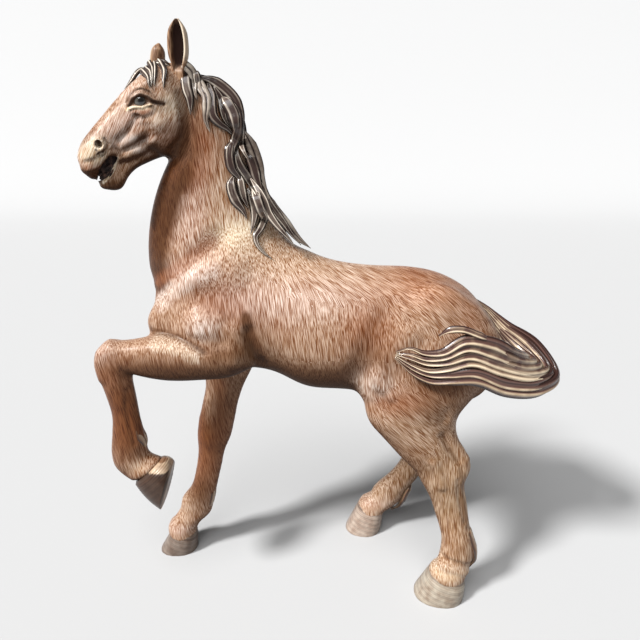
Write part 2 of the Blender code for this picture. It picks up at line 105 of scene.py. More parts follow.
# rows of numbers joined by a smooth curve through each of them
def smoothRows(rows, perSpan):
    rows = np.array(rows, float)
    reach = np.linalg.norm(np.diff(rows[:, :3], axis=0), axis=1)
    knots = np.concatenate([[0], np.cumsum(np.maximum(reach, 1e-6))])
    slopes = np.gradient(rows, knots, axis=0)
    made = []
    for i in range(len(rows) - 1):
        width = knots[i + 1] - knots[i]
        for t in np.arange(perSpan) / perSpan:
            a, b = 2 * t**3 - 3 * t**2 + 1, t**3 - 2 * t**2 + t
            c, d = -2 * t**3 + 3 * t**2, t**3 - t**2
            made.append(a * rows[i] + b * width * slopes[i] + c * rows[i + 1] + d * width * slopes[i + 1])
    made.append(rows[-1])
    return made


# the same curve cut again into even steps
def evenRows(rows, step):
    rows = np.array(smoothRows(rows, 8))
    run = np.concatenate([[0], np.cumsum(np.linalg.norm(np.diff(rows[:, :3], axis=0), axis=1))])
    count = max(int(run[-1] / step), 6)
    at = np.linspace(0, run[-1], count + 1)
    return np.column_stack([np.interp(at, run, rows[:, k]) for k in range(rows.shape[1])])


def skinRings(name, rings):
    count = len(rings[0])
    faces = []
    for i in range(len(rings) - 1):
        for k in range(count):
            j = (k + 1) % count
            faces.append((i * count + k, i * count + j, (i + 1) * count + j, (i + 1) * count + k))
    faces.append(tuple(reversed(range(count))))
    faces.append(tuple(range((len(rings) - 1) * count, len(rings) * count)))
    piece = newPiece(name, [p for ring in rings for p in ring], faces)
    faceOutward(piece)
    return piece


# a ring round one station: top x and z, bottom x and z, y, half width, and how egg-shaped it is
def ovalRing(row, power=2.0, turn=0.0, shrink=1.0, shift=(0, 0, 0), count=36):
    a, b = np.array((row[0], row[4], row[1])), np.array((row[2], row[4], row[3]))
    middle, half = (a + b) / 2, (a - b) / 2
    spin = np.array(Matrix.Rotation(math.radians(-turn), 3, "Z"))
    ring = []
    for k in range(count):
        c, s = math.cos(2 * math.pi * k / count), math.sin(2 * math.pi * k / count)
        c = math.copysign(abs(c) ** (2 / power), c)
        s = math.copysign(abs(s) ** (2 / power), s)
        side = np.array((0, row[5] * (1 + row[6] * c) * s, 0))
        ring.append(middle + shrink * spin @ (half * c + side) + np.array(shift))
    return ring


def loft(name, stations, domes=(6, 6), mirror=False, power=2.0, turn=0.0, spans=6, count=36):
    rows = smoothRows([(*s[0], *s[1], -s[2] if mirror else s[2], s[3], s[4]) for s in stations], spans)
    rings = [ovalRing(row, power, turn, count=count) for row in rows]
    middles = [np.mean(ring, axis=0) for ring in rings]
    for end, inner, dome in ((0, 1, domes[0]), (-1, -2, domes[1])):
        if dome:
            outward = unit(middles[end] - middles[inner])
            cap = [
                ovalRing(rows[end], power, turn, math.cos(t), outward * dome * math.sin(t), count)
                for t in (math.radians(30), math.radians(60), math.radians(85))
            ]
            rings = cap[::-1] + rings if end == 0 else rings + cap
    return skinRings(name, rings)


# a rounded mass, tilted in the side view
def swelling(name, centre, radii, tilt):
    bpy.ops.mesh.primitive_ico_sphere_add(subdivisions=4, radius=1.0)
    ball = bpy.context.object
    ball.name = name
    place = Matrix.Translation(Vector(centre) * mm) @ Matrix.Rotation(math.radians(tilt), 4, "Y")
    ball.data.transform(place @ Matrix.Diagonal((radii[0] * mm, radii[1] * mm, radii[2] * mm, 1)))
    return ball


# pieces run together into one smooth skin
def melt(name, pieces, voxel, passes):
    body = joinAll(name, pieces)
    remesh = body.modifiers.new("melt", "REMESH")
    remesh.mode = "VOXEL"
    remesh.voxel_size = voxel * mm
    smooth = body.modifiers.new("calm", "SMOOTH")
    smooth.factor = 0.5
    smooth.iterations = passes
    applyAll(body)
    return body


def turnMatrix(angle):
    about = Matrix.Translation(Vector(headTurn["poll"]) * mm)
    return about @ Matrix.Rotation(math.radians(angle), 4, "Z") @ about.inverted()


def turned(vectors, angle):
    c, s = math.cos(math.radians(angle)), math.sin(math.radians(angle))
    x, y = vectors[:, 0], vectors[:, 1]
    return np.column_stack([x * c - y * s, x * s + y * c, vectors[:, 2]])


# the face is drawn on a head that looks straight ahead, and toHead turns points back to it
def toHead(points):
    poll = np.array(headTurn["poll"])
    return turned(points - poll, -headTurn["angle"]) + poll


def fromHead(point):
    return np.array(turnMatrix(headTurn["angle"]) @ (Vector(point) * mm)) / mm


def meshPoints(piece):
    co = np.empty(len(piece.data.vertices) * 3)
    piece.data.vertices.foreach_get("co", co)
    return co.reshape(-1, 3) / mm


def meshNormals(piece):
    normals = np.empty(len(piece.data.vertices) * 3)
    piece.data.vertices.foreach_get("normal", normals)
    return normals.reshape(-1, 3)


def setPoints(piece, points):
    piece.data.vertices.foreach_set("co", (points * mm).ravel())
    piece.data.update()


def addNumbers(piece, name, kind, values):
    layer = piece.data.attributes.new(name, kind, "POINT")
    field = {"FLOAT": "value", "FLOAT_VECTOR": "vector", "FLOAT_COLOR": "color"}[kind]
    layer.data.foreach_set(field, np.asarray(values, float).ravel())


# how far each point is from a line through the path
def pathDistance(points, path):
    best = np.full(len(points), 1e9)
    for a, b in zip(path[:-1], path[1:]):
        ab = b - a
        t = np.clip(((points - a) @ ab) / max(ab @ ab, 1e-9), 0, 1)
        best = np.minimum(best, np.linalg.norm(points - (a + t[:, None] * ab), axis=1))
    return best


def finishPiece(piece, material):
    piece.data.transform(Matrix.Translation((-footMiddle[0] * mm, -footMiddle[1] * mm, 0)))
    low, high = np.array(solidBox) / mm
    setPoints(piece, np.clip(meshPoints(piece), low, high))
    piece.data.materials.clear()
    piece.data.materials.append(material)
    piece.data.shade_smooth()
    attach(piece, "root")


# the body: lofts and swellings melted into one skin, then carved
bodyForm = {  # stations: top or front (x, z), bottom or back (x, z), y, half width, egg
    "trunk": [
        ((-157, 318), (-154, 286), 0, 26, 0.0), ((-141, 346), (-140, 264), 0, 42, 0.0),
        ((-112, 364), (-112, 254), 0, 50, 0.0), ((-78, 372), (-80, 252), 0, 52, -0.05),
        ((-45, 374), (-47, 248), 0, 54, -0.15), ((-15, 369), (-15, 232), 0, 58, -0.15),
        ((20, 359), (18, 229), 0, 60, -0.10), ((55, 355), (50, 227), 0, 58, -0.05),
        ((88, 354), (84, 234), 0, 54, 0.0), ((118, 348), (115, 246), 0, 50, 0.0),
        ((146, 333), (142, 253), 0, 42, 0.0), ((169, 308), (164, 262), 0, 28, 0.0),
    ],
    "neck": [
        ((-158, 290), (-5, 368), 0, 45, 0.0), ((-161, 318), (-26, 377), 0, 41, 0.0),
        ((-167, 352), (-40, 393), 0, 36, 0.05), ((-165, 386), (-53, 416), 0, 31, 0.05),
        ((-158, 414), (-62, 441), 0, 27.5, 0.05), ((-148, 438), (-67, 464), 0, 25, 0.05),
        ((-136, 460), (-74, 487), 0, 23, 0.0), ((-130, 485), (-85, 508), 0, 20, 0.0),
        ((-128, 505), (-101, 521), 0, 17, 0.0),
    ],
    "shoulder": [
        ((-98, 358), (-44, 352), 24, 14, 0.0), ((-128, 336), (-50, 326), 30, 19, 0.0),
        ((-146, 314), (-58, 302), 33, 22, -0.1), ((-140, 292), (-60, 276), 35, 22, -0.1),
        ((-122, 276), (-66, 262), 35, 18, 0.0),
    ],
    "haunch": [
        ((98, 343), (158, 318), 22, 25, 0.0), ((74, 316), (174, 294), 28, 28, 0.0),
        ((56, 282), (176, 272), 34, 29, 0.0), ((43, 252), (164, 252), 39, 26, 0.0),
    ],
    "raisedForearm": [
        ((-72, 302), (-58, 268), -38, 20, 0.0), ((-98, 299), (-84, 256), -41, 23, 0.1),
        ((-128, 299), (-114, 253), -43, 21, 0.1), ((-156, 297), (-146, 252), -43, 18, 0.1),
        ((-180, 293), (-170, 256), -42, 15.5, 0.0), ((-197, 291), (-182, 260), -42, 14, 0.0),
    ],
    "raisedCannon": [
        ((-202, 293), (-176, 274), -42, 13, 0.0), ((-213, 281), (-180, 262), -42, 14, 0.0),
        ((-214, 263), (-181, 251), -42, 13, 0.0), ((-209, 238), (-180, 236), -42, 11, 0.0),
        ((-206, 215), (-179, 213), -41, 10, 0.0), ((-209, 190), (-177, 195), -41, 10.5, 0.0),
        ((-212, 172), (-176, 180), -40, 12.5, 0.0), ((-211, 157), (-175, 170), -40, 12.5, 0.0),
        ((-203, 145), (-168, 165), -40, 12, 0.0), ((-195, 139), (-163, 163), -40, 14, 0.0),
    ],
    "farForeleg": [
        ((-130, 300), (-62, 285), 34, 22, 0.0), ((-132, 262), (-66, 255), 34, 21, 0.0),
        ((-131, 235), (-76, 232), 33, 19, 0.0), ((-129, 213), (-86, 212), 32, 16.5, 0.0),
        ((-134, 190), (-93, 192), 30, 14, 0.0), ((-140, 166), (-98, 170), 28, 14, 0.0),
        ((-142, 150), (-103, 150), 27, 14, 0.0), ((-142, 134), (-110, 134), 26, 11.5, 0.0),
        ((-146, 108), (-116, 110), 24, 10, 0.0), ((-153, 85), (-122, 86), 22, 10.5, 0.0),
        ((-165, 68), (-127, 66), 21, 13, 0.0), ((-168, 55), (-131, 51), 20, 12.5, 0.0),
        ((-177, 42), (-144, 38), 18, 12.5, 0.0), ((-184, 31), (-150, 27), 18, 15, 0.0),
        ((-184, 22), (-151, 18), 18, 16, 0.0),
    ],
    "nearHindLeg": [
        ((56, 282), (170, 272), -35, 28, 0.0), ((42, 252), (164, 256), -39, 26, 0.0),
        ((43, 229), (151, 237), -42, 24, 0.0), ((48, 209), (138, 219), -44, 20, 0.0),
        ((64, 189), (134, 203), -45, 17, 0.0), ((82, 168), (137, 190), -46, 14.5, 0.0),
        ((98, 150), (145, 177), -46, 13.5, 0.0), ((106, 136), (153, 160), -47, 14, 0.0),
        ((114, 121), (148, 140), -48, 12, 0.0), ((120, 103), (152, 118), -49, 10.5, 0.0),
        ((125, 88), (156, 95), -50, 11, 0.0), ((129, 70), (162, 72), -51, 13, 0.0),
        ((128, 54), (164, 52), -52, 13, 0.0), ((125, 42), (160, 36), -52, 13, 0.0),
        ((119, 34), (158, 26), -52, 17, 0.0), ((118, 28), (156, 20), -52, 17.5, 0.0),
    ],
    "farHindLeg": [
        ((52, 282), (166, 270), 35, 28, 0.0), ((42, 252), (156, 250), 39, 26, 0.0),
        ((42, 228), (144, 226), 42, 24, 0.0), ((52, 204), (140, 204), 44, 20, 0.0),
        ((68, 180), (142, 184), 45, 17, 0.0), ((86, 156), (146, 166), 46, 14.5, 0.0),
        ((98, 137), (150, 147), 47, 13.5, 0.0), ((103, 118), (147, 123), 48, 13, 0.0),
        ((98, 99), (131, 95), 49, 11, 0.0), ((85, 80), (119, 73), 50, 10.5, 0.0),
        ((73, 67), (109, 58), 51, 12, 0.0), ((66, 57), (103, 44), 52, 13, 0.0),
        ((62, 48), (92, 32), 52, 12.5, 0.0), ((51, 41), (82, 26), 52, 15, 0.0),
        ((48, 32), (80, 20), 52, 16, 0.0),
    ],
    "muscles": [  # on both sides: centre, radii, tilt
        ((-143, 20, 303), (26, 23, 24), 0),
        ((-108, 38, 306), (32, 18, 28), -20),
        ((-76, 38, 288), (24, 20, 30), 15),
        ((-104, 28, 338), (30, 15, 48), -30),
        ((64, 38, 246), (28, 22, 40), -20),
        ((108, 32, 306), (40, 24, 40), 25),
        ((146, 32, 268), (28, 24, 44), 8),
    ],
    # the head, before it is turned
    "skull": [
        ((-117, 531), (-108, 494), 0, 15, 0.0), ((-131, 534), (-113, 474), 0, 19, 0.0),
        ((-144, 532), (-124, 463), 0, 22.5, 0.1), ((-155, 524), (-138, 460), 0, 23.5, 0.15),
        ((-167, 513), (-151, 459), 0, 21, 0.15), ((-179, 502), (-163, 459), 0, 17.5, 0.0),
        ((-191, 489), (-177, 459), 0, 15.5, 0.0), ((-202, 477), (-188, 453), 0, 15, 0.0),
        ((-210, 467), (-195, 446), 0, 15, 0.0), ((-214, 457), (-203, 437), 0, 13, 0.0),
    ],
    "jaw": [
        ((-140, 474), (-140, 458), 0, 12, 0.0), ((-158, 465), (-156, 452), 0, 12, 0.0),
        ((-171, 459), (-168, 446), 0, 11.5, 0.0), ((-180, 451), (-175, 439), 0, 10, 0.0),
        ((-186, 443), (-180, 431), 0, 10, 0.0), ((-193, 436), (-186, 428), 0, 9.5, 0.0),
        ((-198, 434), (-194, 429), 0, 8, 0.0),
    ],
    "tongue": [
        ((-168, 462), (-168, 448), 0, 6.5, 0.0), ((-180, 459), (-177, 444), 0, 6, 0.0),
        ((-188, 455), (-184, 437), 0, 5.5, 0.0), ((-195, 448), (-190, 433), 0, 5, 0.0),
    ],
    "headMuscles": [
        ((-140, 10, 484), (24, 14, 27), 0), ((-166, 6, 467), (22, 9.5, 12), -35),
        ((-157, 14, 507), (13, 9, 8), -40), ((-205.5, 4, 447.4), (7.4, 8, 6.4), 0),
        ((-192.5, 3, 433.8), (6.8, 7, 4.4), 10),
    ],
    # lines carved in the side view: rise (below 0 cuts in), reach, sides, path of (x, z)
    "carving": [
        (3.2, 22, (-1, 1), [(-150, 327), (-138, 338), (-118, 351), (-95, 358), (-80, 358)]),  # shoulder blade
        (-2.6, 17, (-1, 1), [(-156, 343), (-137, 353), (-115, 368), (-91, 386)]),
        (0.9, 22, (-1, 1), [(-140, 366), (-125, 378), (-104, 396)]),  # base of the neck
        (-2.2, 7, (-1, 1), [(-160, 331), (-149, 338), (-141, 342)]),  # top of the breast
        (-1.3, 18, (-1, 1), [(-134, 316), (-118, 328), (-98, 334), (-80, 330)]),
        (3.6, 20, (-1, 1), [(-108, 309), (-98, 308)]),  # point of shoulder
        (-1.3, 8, (-1,), [(-160, 301), (-146, 301), (-132, 300), (-119, 296), (-104, 288)]),  # forearm crease
        (0.6, 11, (-1,), [(-158, 290), (-142, 289), (-125, 284), (-112, 278)]),
        (-4.0, 10, (-1, 1), [(-65, 304), (-62, 294), (-60, 284), (-56, 270)]),  # behind the elbow
        (2.6, 13, (-1, 1), [(-80, 304), (-80, 290), (-78, 277)]),
        (-3.0, 20, (-1, 1), [(60, 318), (51, 300), (42, 284), (37, 268)]),  # flank
        (3.0, 17, (-1, 1), [(82, 300), (72, 286), (62, 272), (56, 258)]),  # front of the thigh
        (2.0, 10, (-1, 1), [(52, 262), (58, 254), (66, 244)]),  # stifle
        (-2.0, 12, (-1, 1), [(98, 262), (112, 246), (122, 230)]),
        (2.0, 8, (-1, 1), [(124, 214), (132, 196), (141, 182), (148, 170)]),  # hamstring
        (-1.8, 6, (-1, 1), [(118, 200), (126, 184), (136, 170)]),
        (2.0, 7, (-1, 1), [(112, 170), (118, 156), (122, 142)]),  # hock
        (-1.4, 4, (-1, 1), [(138, 150), (140, 134), (144, 118), (150, 98)]),  # cannon tendon
        (-1.4, 4, (-1, 1), [(-120, 138), (-124, 118), (-131, 96), (-138, 78)]),
        (-1.2, 4, (-1, 1), [(-184, 244), (-187, 226), (-186, 204), (-184, 186)]),
        (2.0, 6, (-1, 1), [(115, 40), (128, 44), (142, 42), (157, 35)]),  # coronets
        (-1.5, 5, (-1, 1), [(116, 51), (130, 54), (146, 51), (158, 45)]),
        (1.6, 6, (-1, 1), [(-179, 34), (-166, 37), (-150, 31)]),
        (-1.4, 5, (-1, 1), [(-176, 43), (-164, 46), (-149, 41)]),
        (1.6, 6, (-1, 1), [(51, 45), (64, 46), (81, 39)]),
        (-1.4, 5, (-1, 1), [(55, 54), (68, 54), (83, 48)]),
        (1.6, 8, (-1, 1), [(-206, 280), (-210, 268), (-208, 256)]),  # knee
        (1.6, 8, (-1, 1), [(-136, 172), (-138, 160), (-136, 148)]),
    ],
    # the same on the straight head, always on both sides
    "faceCarving": [
        (-2.2, 7, [(-160, 500.5), (-158.5, 500.5)]),  # eye socket
        (1.3, 2.5, [(-168, 498), (-164.6, 503.2), (-159.2, 505.8), (-154, 504.4), (-150.5, 501.2),
                    (-145, 499)]),  # upper lid
        (-1.0, 1.8, [(-169.5, 500), (-166.8, 504.8), (-162.4, 508.4), (-157.6, 509.4), (-151.5, 507.4),
                     (-147, 503.4)]),
        (1.4, 2.0, [(-168.5, 494), (-165.2, 495.4), (-162.3, 495.6), (-158.3, 495.4), (-155, 496.8),
                    (-151, 497.8)]),
        (0.7, 4.0, [(-165, 491.5), (-159, 490.5), (-153, 493)]),  # pouch
        (-0.4, 3.4, [(-167, 488.6), (-160, 486.4), (-152, 488.5), (-148, 493)]),
        (-1.4, 2.4, [(-150, 499.4), (-145, 498.6), (-141, 498.4)]),  # corner of the eye
        (1.4, 6, [(-173, 507), (-164, 514), (-154, 516)]),  # brow bone
        (-1.3, 4.6, [(-163.5, 488), (-166.5, 484), (-171, 478), (-175.4, 474), (-180, 470)]),
        (1.6, 6.0, [(-160, 477), (-166, 472.5), (-172, 468.5), (-178.5, 465)]),  # cheek muscles
        (-0.9, 3.4, [(-159, 470.6), (-162, 468.4), (-168, 465), (-175, 462)]),
        (1.6, 6.0, [(-153, 468.4), (-160, 463.6), (-167, 460), (-174, 457)]),
        (-0.5, 4.4, [(-150, 460.5), (-160, 456), (-169, 453)]),
        (1.4, 11, [(-150, 486), (-147, 484)]),  # cheek
        (-2.2, 6, [(-128, 507), (-126, 495), (-125.5, 483), (-129, 471), (-137, 462)]),  # behind the cheek
        (1.5, 2.1, [(-199.2, 466.3), (-197.7, 469.2), (-195, 470.2), (-192.6, 468.6), (-191.8, 465.8),
                    (-193, 463.2), (-195.4, 462), (-198, 463.2), (-199.2, 466.3)]),  # nostril
        (-4.2, 3.0, [(-195.9, 467.0), (-195.2, 466.2)]),
        (1.2, 2.6, [(-195.6, 460.6), (-195, 460.4)]),
        (-1.3, 2.4, [(-190.4, 470.6), (-188.4, 467), (-189.4, 462.6), (-192.6, 458.8), (-196.6, 457.6)]),
        (1.0, 3.4, [(-206, 446), (-198, 449), (-191, 457.5), (-184, 460)]),  # upper lip
        (-1.0, 3.0, [(-208, 452), (-200, 454), (-194, 459)]),
        (1.0, 2.6, [(-180, 455), (-182.6, 448), (-186.4, 441), (-190.6, 435.6)]),  # lower lip
    ],
    "mouthOutline": [(-182.0, 456.0), (-184.2, 457.4), (-188.4, 456.8), (-192.6, 452.8), (-196.2, 448.4),
                     (-198.2, 444.6), (-199.6, 439.6), (-201.0, 436.4), (-199.0, 436.4), (-197.0, 437.4),
                     (-193.2, 439.2), (-189.8, 443.2), (-186.2, 449.2), (-183.0, 453.8)],
    "mouthHalf": 26,
    "melting": {"torso": (3.0, 30), "whole": (2.35, 5)},  # voxel, smoothing passes
    "calm": {"low": 225, "high": 420, "fade": 30, "passes": 16},  # heights between which the skin is calmed
    # places on the straight head, bounded by an x and a z: the face, its finer mesh, and round the mouth
    "face": (-112, 425), "fineFace": (-128, 424), "roundMouth": (-176, 464),
    "finest": [((-159, 500), 12), ((-195, 465), 9)],  # eye and nostril: middle, reach of the finest mesh
}


# raises or cuts the skin along a path, on the side that faces that way
def carve(points, normals, rise, reach, path, side):
    near = 1 - np.clip(pathDistance(points[:, [0, 2]], np.array(path, float)) / reach, 0, 1)
    near = near * near * (3 - 2 * near)
    facing = np.clip(normals[:, 1] * side * 2.2 + 0.1, 0, 1) * (points[:, 1] * side > 0)
    return points + normals * (rise * near * facing)[:, None]


def bothSides(name):
    pieces = []
    for (x, y, z), radii, tilt in bodyForm[name]:
        pieces += [swelling(name, (x, side * y, z), radii, tilt) for side in (-1, 1)]
    return pieces


def makeBody():
    form = bodyForm
    masses = [loft("trunk", form["trunk"], (10, 8)), loft("neck", form["neck"])]
    for mirror in (True, False):
        masses.append(loft("shoulder", form["shoulder"], mirror=mirror))
        masses.append(loft("haunch", form["haunch"], mirror=mirror))
    masses += bothSides("muscles")
    legs = ("raisedForearm", "raisedCannon", "farForeleg", "nearHindLeg", "farHindLeg")
    parts = [melt("torso", masses, *form["melting"]["torso"])] + [loft(leg, form[leg]) for leg in legs]
    head = [loft("skull", form["skull"], (6, 3)), loft("jaw", form["jaw"], (6, 3))]
    head.append(loft("tongue", form["tongue"], (3, 3)))
    head += bothSides("headMuscles")
    for part in head:
        part.data.transform(turnMatrix(headTurn["angle"]))
    body = melt("horseBody", parts + head, *form["melting"]["whole"])
    calm = form["calm"]
    heights = meshPoints(body)[:, 2]
    inner = np.minimum(heights - calm["low"], calm["high"] - heights)
    weights = np.clip(inner / calm["fade"], 0, 1)
    group = body.vertex_groups.new(name="soft")
    for i in np.nonzero(weights)[0]:
        group.add([int(i)], float(weights[i]), "REPLACE")
    soften = body.modifiers.new("soften", "SMOOTH")
    soften.factor = 0.5
    soften.iterations = calm["passes"]
    soften.vertex_group = "soft"
    applyAll(body)
    body.vertex_groups.clear()
    front, low = form["fineFace"]
    refine(body, lambda head: (head[:, 0] < front) & (head[:, 2] > low))
    refine(body, lambda head: np.min([
        np.linalg.norm(head[:, [0, 2]] - middle, axis=1) - reach for middle, reach in form["finest"]
    ], axis=0) < 0)
    return body


# a finer mesh where the head's detail is carved
def refine(body, where):
    chosen = where(toHead(meshPoints(body)))
    mesh = bmesh.new()
    mesh.from_mesh(body.data)
    faces = [f for f in mesh.faces if all(chosen[v.index] for v in f.verts)]
    edges = list({e for f in faces for e in f.edges})
    bmesh.ops.subdivide_edges(mesh, edges=edges, cuts=1, use_grid_fill=True, smooth=0.6)
    mesh.to_mesh(body.data)
    mesh.free()


def carveBody(body):
    for rise, reach, sides, path in bodyForm["carving"]:
        for side in sides:
            setPoints(body, carve(meshPoints(body), meshNormals(body), rise, reach, path, side))
    for rise, reach, path in bodyForm["faceCarving"]:
        for side in (-1, 1):
            points = meshPoints(body)
            straight, facing = toHead(points), turned(meshNormals(body), -headTurn["angle"])
            shift = carve(straight, facing, rise, reach, path, side) - straight
            shift[straight[:, 0] > bodyForm["face"][0]] = 0
            setPoints(body, points + turned(shift, headTurn["angle"]))
    points = meshPoints(body)
    points[:, 2] = np.maximum(points[:, 2], 0)  # nothing below the ground
    setPoints(body, points)


# a slab across the straight head, turned with it
def headSlab(name, outline, half):
    count = len(outline)
    points = [fromHead((x, side * half, z)) for side in (-1, 1) for x, z in outline]
    faces = [tuple(range(count)), tuple(reversed(range(count, 2 * count)))]
    faces += [(k, (k + 1) % count, (k + 1) % count + count, k + count) for k in range(count)]
    slab = newPiece(name, points, faces)
    faceOutward(slab)
    return slab


# cuts the open mouth and tells which points of the body lie on the cut
def cutMouth(body):
    cutter = headSlab("mouthCutter", bodyForm["mouthOutline"], bodyForm["mouthHalf"])
    corners = [v.co for v in cutter.data.vertices]
    wall = BVHTree.FromPolygons(corners, [tuple(p.vertices) for p in cutter.data.polygons])
    cut = body.modifiers.new("mouth", "BOOLEAN")
    cut.operation = "DIFFERENCE"
    cut.solver = "MANIFOLD"
    cut.object = cutter
    applyAll(body)
    bpy.data.objects.remove(cutter)
    points = meshPoints(body)
    straight = toHead(points)
    back, top = bodyForm["roundMouth"]
    close = np.nonzero((straight[:, 0] < back) & (straight[:, 2] < top))[0]
    inside = np.zeros(len(points))
    for i in close:
        inside[i] = wall.find_nearest(Vector(points[i]) * mm)[3] < 0.15 * mm
    return inside


print("body")
body = makeBody()
carveBody(body)
bodyTree = BVHTree.FromObject(body, bpy.context.evaluated_depsgraph_get())
mouthWall = cutMouth(body)
print("body triangles", sum(len(p.vertices) - 2 for p in body.data.polygons))


hoofForm = {  # stations as for the body
    "nearHind": {"turn": 10, "wall": (0.36, 0.31, 0.245), "rim": 0.5, "stations": [
        ((119, 31), (155, 26), -52, 15, 0.0), ((116, 24), (157, 19), -52, 18.5, 0.0),
        ((110, 12), (157, 8), -52, 20.5, 0.0), ((103, -2), (156, -2), -52, 21, 0.0),
        ((101, -8), (156, -8), -52, 21.5, 0.0),
    ]},
    "farHind": {"turn": 12, "wall": (0.40, 0.32, 0.26), "rim": 0.8, "stations": [
        ((49, 36), (80, 29), 52, 14, 0.0), ((45, 26), (80, 19), 52, 17, 0.0),
        ((39, 12), (79, 8), 52, 19, 0.0),
        ((33, -2), (77, -2), 52, 20, 0.0), ((31, -8), (77, -8), 52, 20.5, 0.0),
    ]},
    "farFore": {"turn": 0, "wall": (0.20, 0.155, 0.125), "rim": 0.5, "stations": [
        ((-180, 26), (-150, 22), 18, 14, 0.0), ((-184, 19), (-150, 15), 18, 16.5, 0.0),
        ((-190, 8), (-151, 6), 18, 18, 0.0), ((-196, -2), (-151, -2), 18, 18, 0.0),
        ((-199, -8), (-151, -8), 18, 18.5, 0.0),
    ]},
    "raised": {"turn": 0, "wall": (0.055, 0.032, 0.022), "rim": 0.4, "stations": [
        ((-191, 135), (-160, 162), -40, 15, 0.0), ((-186, 127), (-157, 161), -40, 17.5, 0.0),
        ((-177, 116), (-154, 158), -40, 20, 0.0), ((-166, 106), (-153, 155), -40, 21, 0.0),
    ]},
}
hoofDetail = {  # growth rings: height and distance apart; glazes of the rims, the raised heel and its bulb
    "ringHeight": 0.16, "ringsApart": 2.1, "edge": (0.06, 0.03, 0.018),
    "heel": (154, (0.42, 0.31, 0.21)), "bulb": (161, (0.20, 0.11, 0.06)),
}


def makeHoof(name):
    form = hoofForm[name]
    stations = form["stations"]
    hoof = loft(name, stations, (4, 0), power=2.3, turn=form["turn"], spans=16, count=80)
    top, foot = (np.array(stations[k][0]) + np.array(stations[k][1]) for k in (0, -1))
    axis = unit((top[0] - foot[0], 0, top[1] - foot[1]))
    foot = np.array((foot[0], 0, foot[1])) / 2
    points, normals = meshPoints(hoof), meshNormals(hoof)
    height = (points - foot) @ axis
    sideways = np.abs(normals @ axis) < 0.75
    phase = height * 2 * math.pi / hoofDetail["ringsApart"]
    rise = hoofDetail["ringHeight"] * np.sin(phase) * sideways
    setPoints(hoof, points + normals * rise[:, None])
    colour = np.tile(np.array(form["wall"]), (len(points), 1))
    ringed = 0.88 + 0.14 * np.sin(phase + 0.6) + 0.1 * np.sin(height * 1.1)
    full = (top - 2 * foot[[0, 2]]) @ axis[[0, 2]] / 2
    ground = np.clip(1 - (height + 0.5) / 2.2, 0, 1) * form["rim"]
    coronet = np.clip(1 - abs(height - full + 2) / 2, 0, 1) * 0.8
    edge = np.maximum(ground, coronet)[:, None]
    colour = colour * ringed[:, None] * (1 - edge) + np.array(hoofDetail["edge"]) * edge
    if name == "raised":
        for start, glaze in (hoofDetail["heel"], hoofDetail["bulb"]):
            colour[points[:, 2] > start] = glaze
    addNumbers(hoof, "glaze", "FLOAT_COLOR", np.column_stack([colour, np.ones(len(points))]))
    if name != "raised":
        pick(hoof)
        bpy.ops.object.mode_set(mode="EDIT")
        bpy.ops.mesh.select_all(action="SELECT")
        bpy.ops.mesh.bisect(plane_co=(0, 0, 0), plane_no=(0, 0, -1), clear_outer=True, use_fill=True)
        bpy.ops.object.mode_set(mode="OBJECT")
    return hoof


print("hooves")
hooves = joinAll("hooves", [makeHoof(name) for name in hoofForm])

earForm = {
    "near": {"base": (-119, -17, 526), "tip": (-117, -20, 564), "width": 9.6, "depth": 7.0,
             "faces": (-0.35, -1, 0.1)},
    "far": {"base": (-145, 6, 529), "tip": (-141, 7, 551), "width": 6.5, "depth": 6.0,
            "faces": (-0.3, 1, 0.1)},
    # rings along the ear, as shares of its length and of its width; below 0 they are in the head
    "heights": [-0.5, -0.2, 0.0, 0.12, 0.25, 0.4, 0.55, 0.7, 0.82, 0.92, 1.0],
    "widths": [0.5, 0.46, 0.5, 0.64, 0.84, 1.0, 1.02, 0.9, 0.7, 0.43, 0.14],
    "tall": 40,
}


def makeEar(name, form):
    base, tip = np.array(form["base"], float), np.array(form["tip"], float)
    axis = unit(tip - base)
    side = unit(np.cross(axis, form["faces"]))
    front = unit(np.cross(side, axis))
    arc = [math.radians(a) for a in np.linspace(-110, 110, 33)]
    rings, inside, rims = [], [], []
    tall = earForm["tall"]
    rows = smoothRows([(h * tall, 0, 0, w) for h, w in zip(earForm["heights"], earForm["widths"])], 5)
    for row in rows:
        t, swell = row[0] / tall, max(row[3], 0.08)
        width, depth = form["width"] * swell, form["depth"] * min(swell + 0.15, 1)
        hollow = min(max((t + 0.02) * 6, 0), 1) * min((1.05 - t) * 6, 1)
        middle = base + (tip - base) * t
        wave = 1 + 0.05 * math.sin(t * 9)
        risen = min(max((t - 0.12) * 5, 0), 1)
        outer = [side * width * math.sin(a) * wave - front * depth * math.cos(a) for a in arc]
        inner, shade, rim = [], [], []
        for a in reversed(arc):
            narrow = 0.92 - 0.22 * hollow
            lean = 0.10 * width * hollow * math.sin(t * 3)
            ahead = depth * (0.34 * (1 - hollow) - hollow * (0.8 * math.cos(a) - 0.06))
            inner.append(side * (width * narrow * math.sin(a) * wave + lean) + front * ahead)
            shade.append(hollow * min(1, max(math.cos(a) * 1.8 + 0.35, 0)))
            rim.append(max(0, math.sin(a)) ** 2 * (1 - shade[-1]) * risen)
        rings.append([middle + p for p in outer + inner])
        inside.append([0.0] * len(arc) + shade)
        rims.append([max(0, math.sin(a) - 0.8) * 2 * risen for a in arc] + rim)
    ear = skinRings(name, rings)
    addNumbers(ear, "dark", "FLOAT", [min(max(v, 0), 1) for ring in inside for v in ring])
    addNumbers(ear, "rim", "FLOAT", [min(max(v, 0), 1) for ring in rims for v in ring])
    return ear


print("ears")
ears = joinAll("ears", [makeEar("nearEar", earForm["near"]), makeEar("farEar", earForm["far"])])


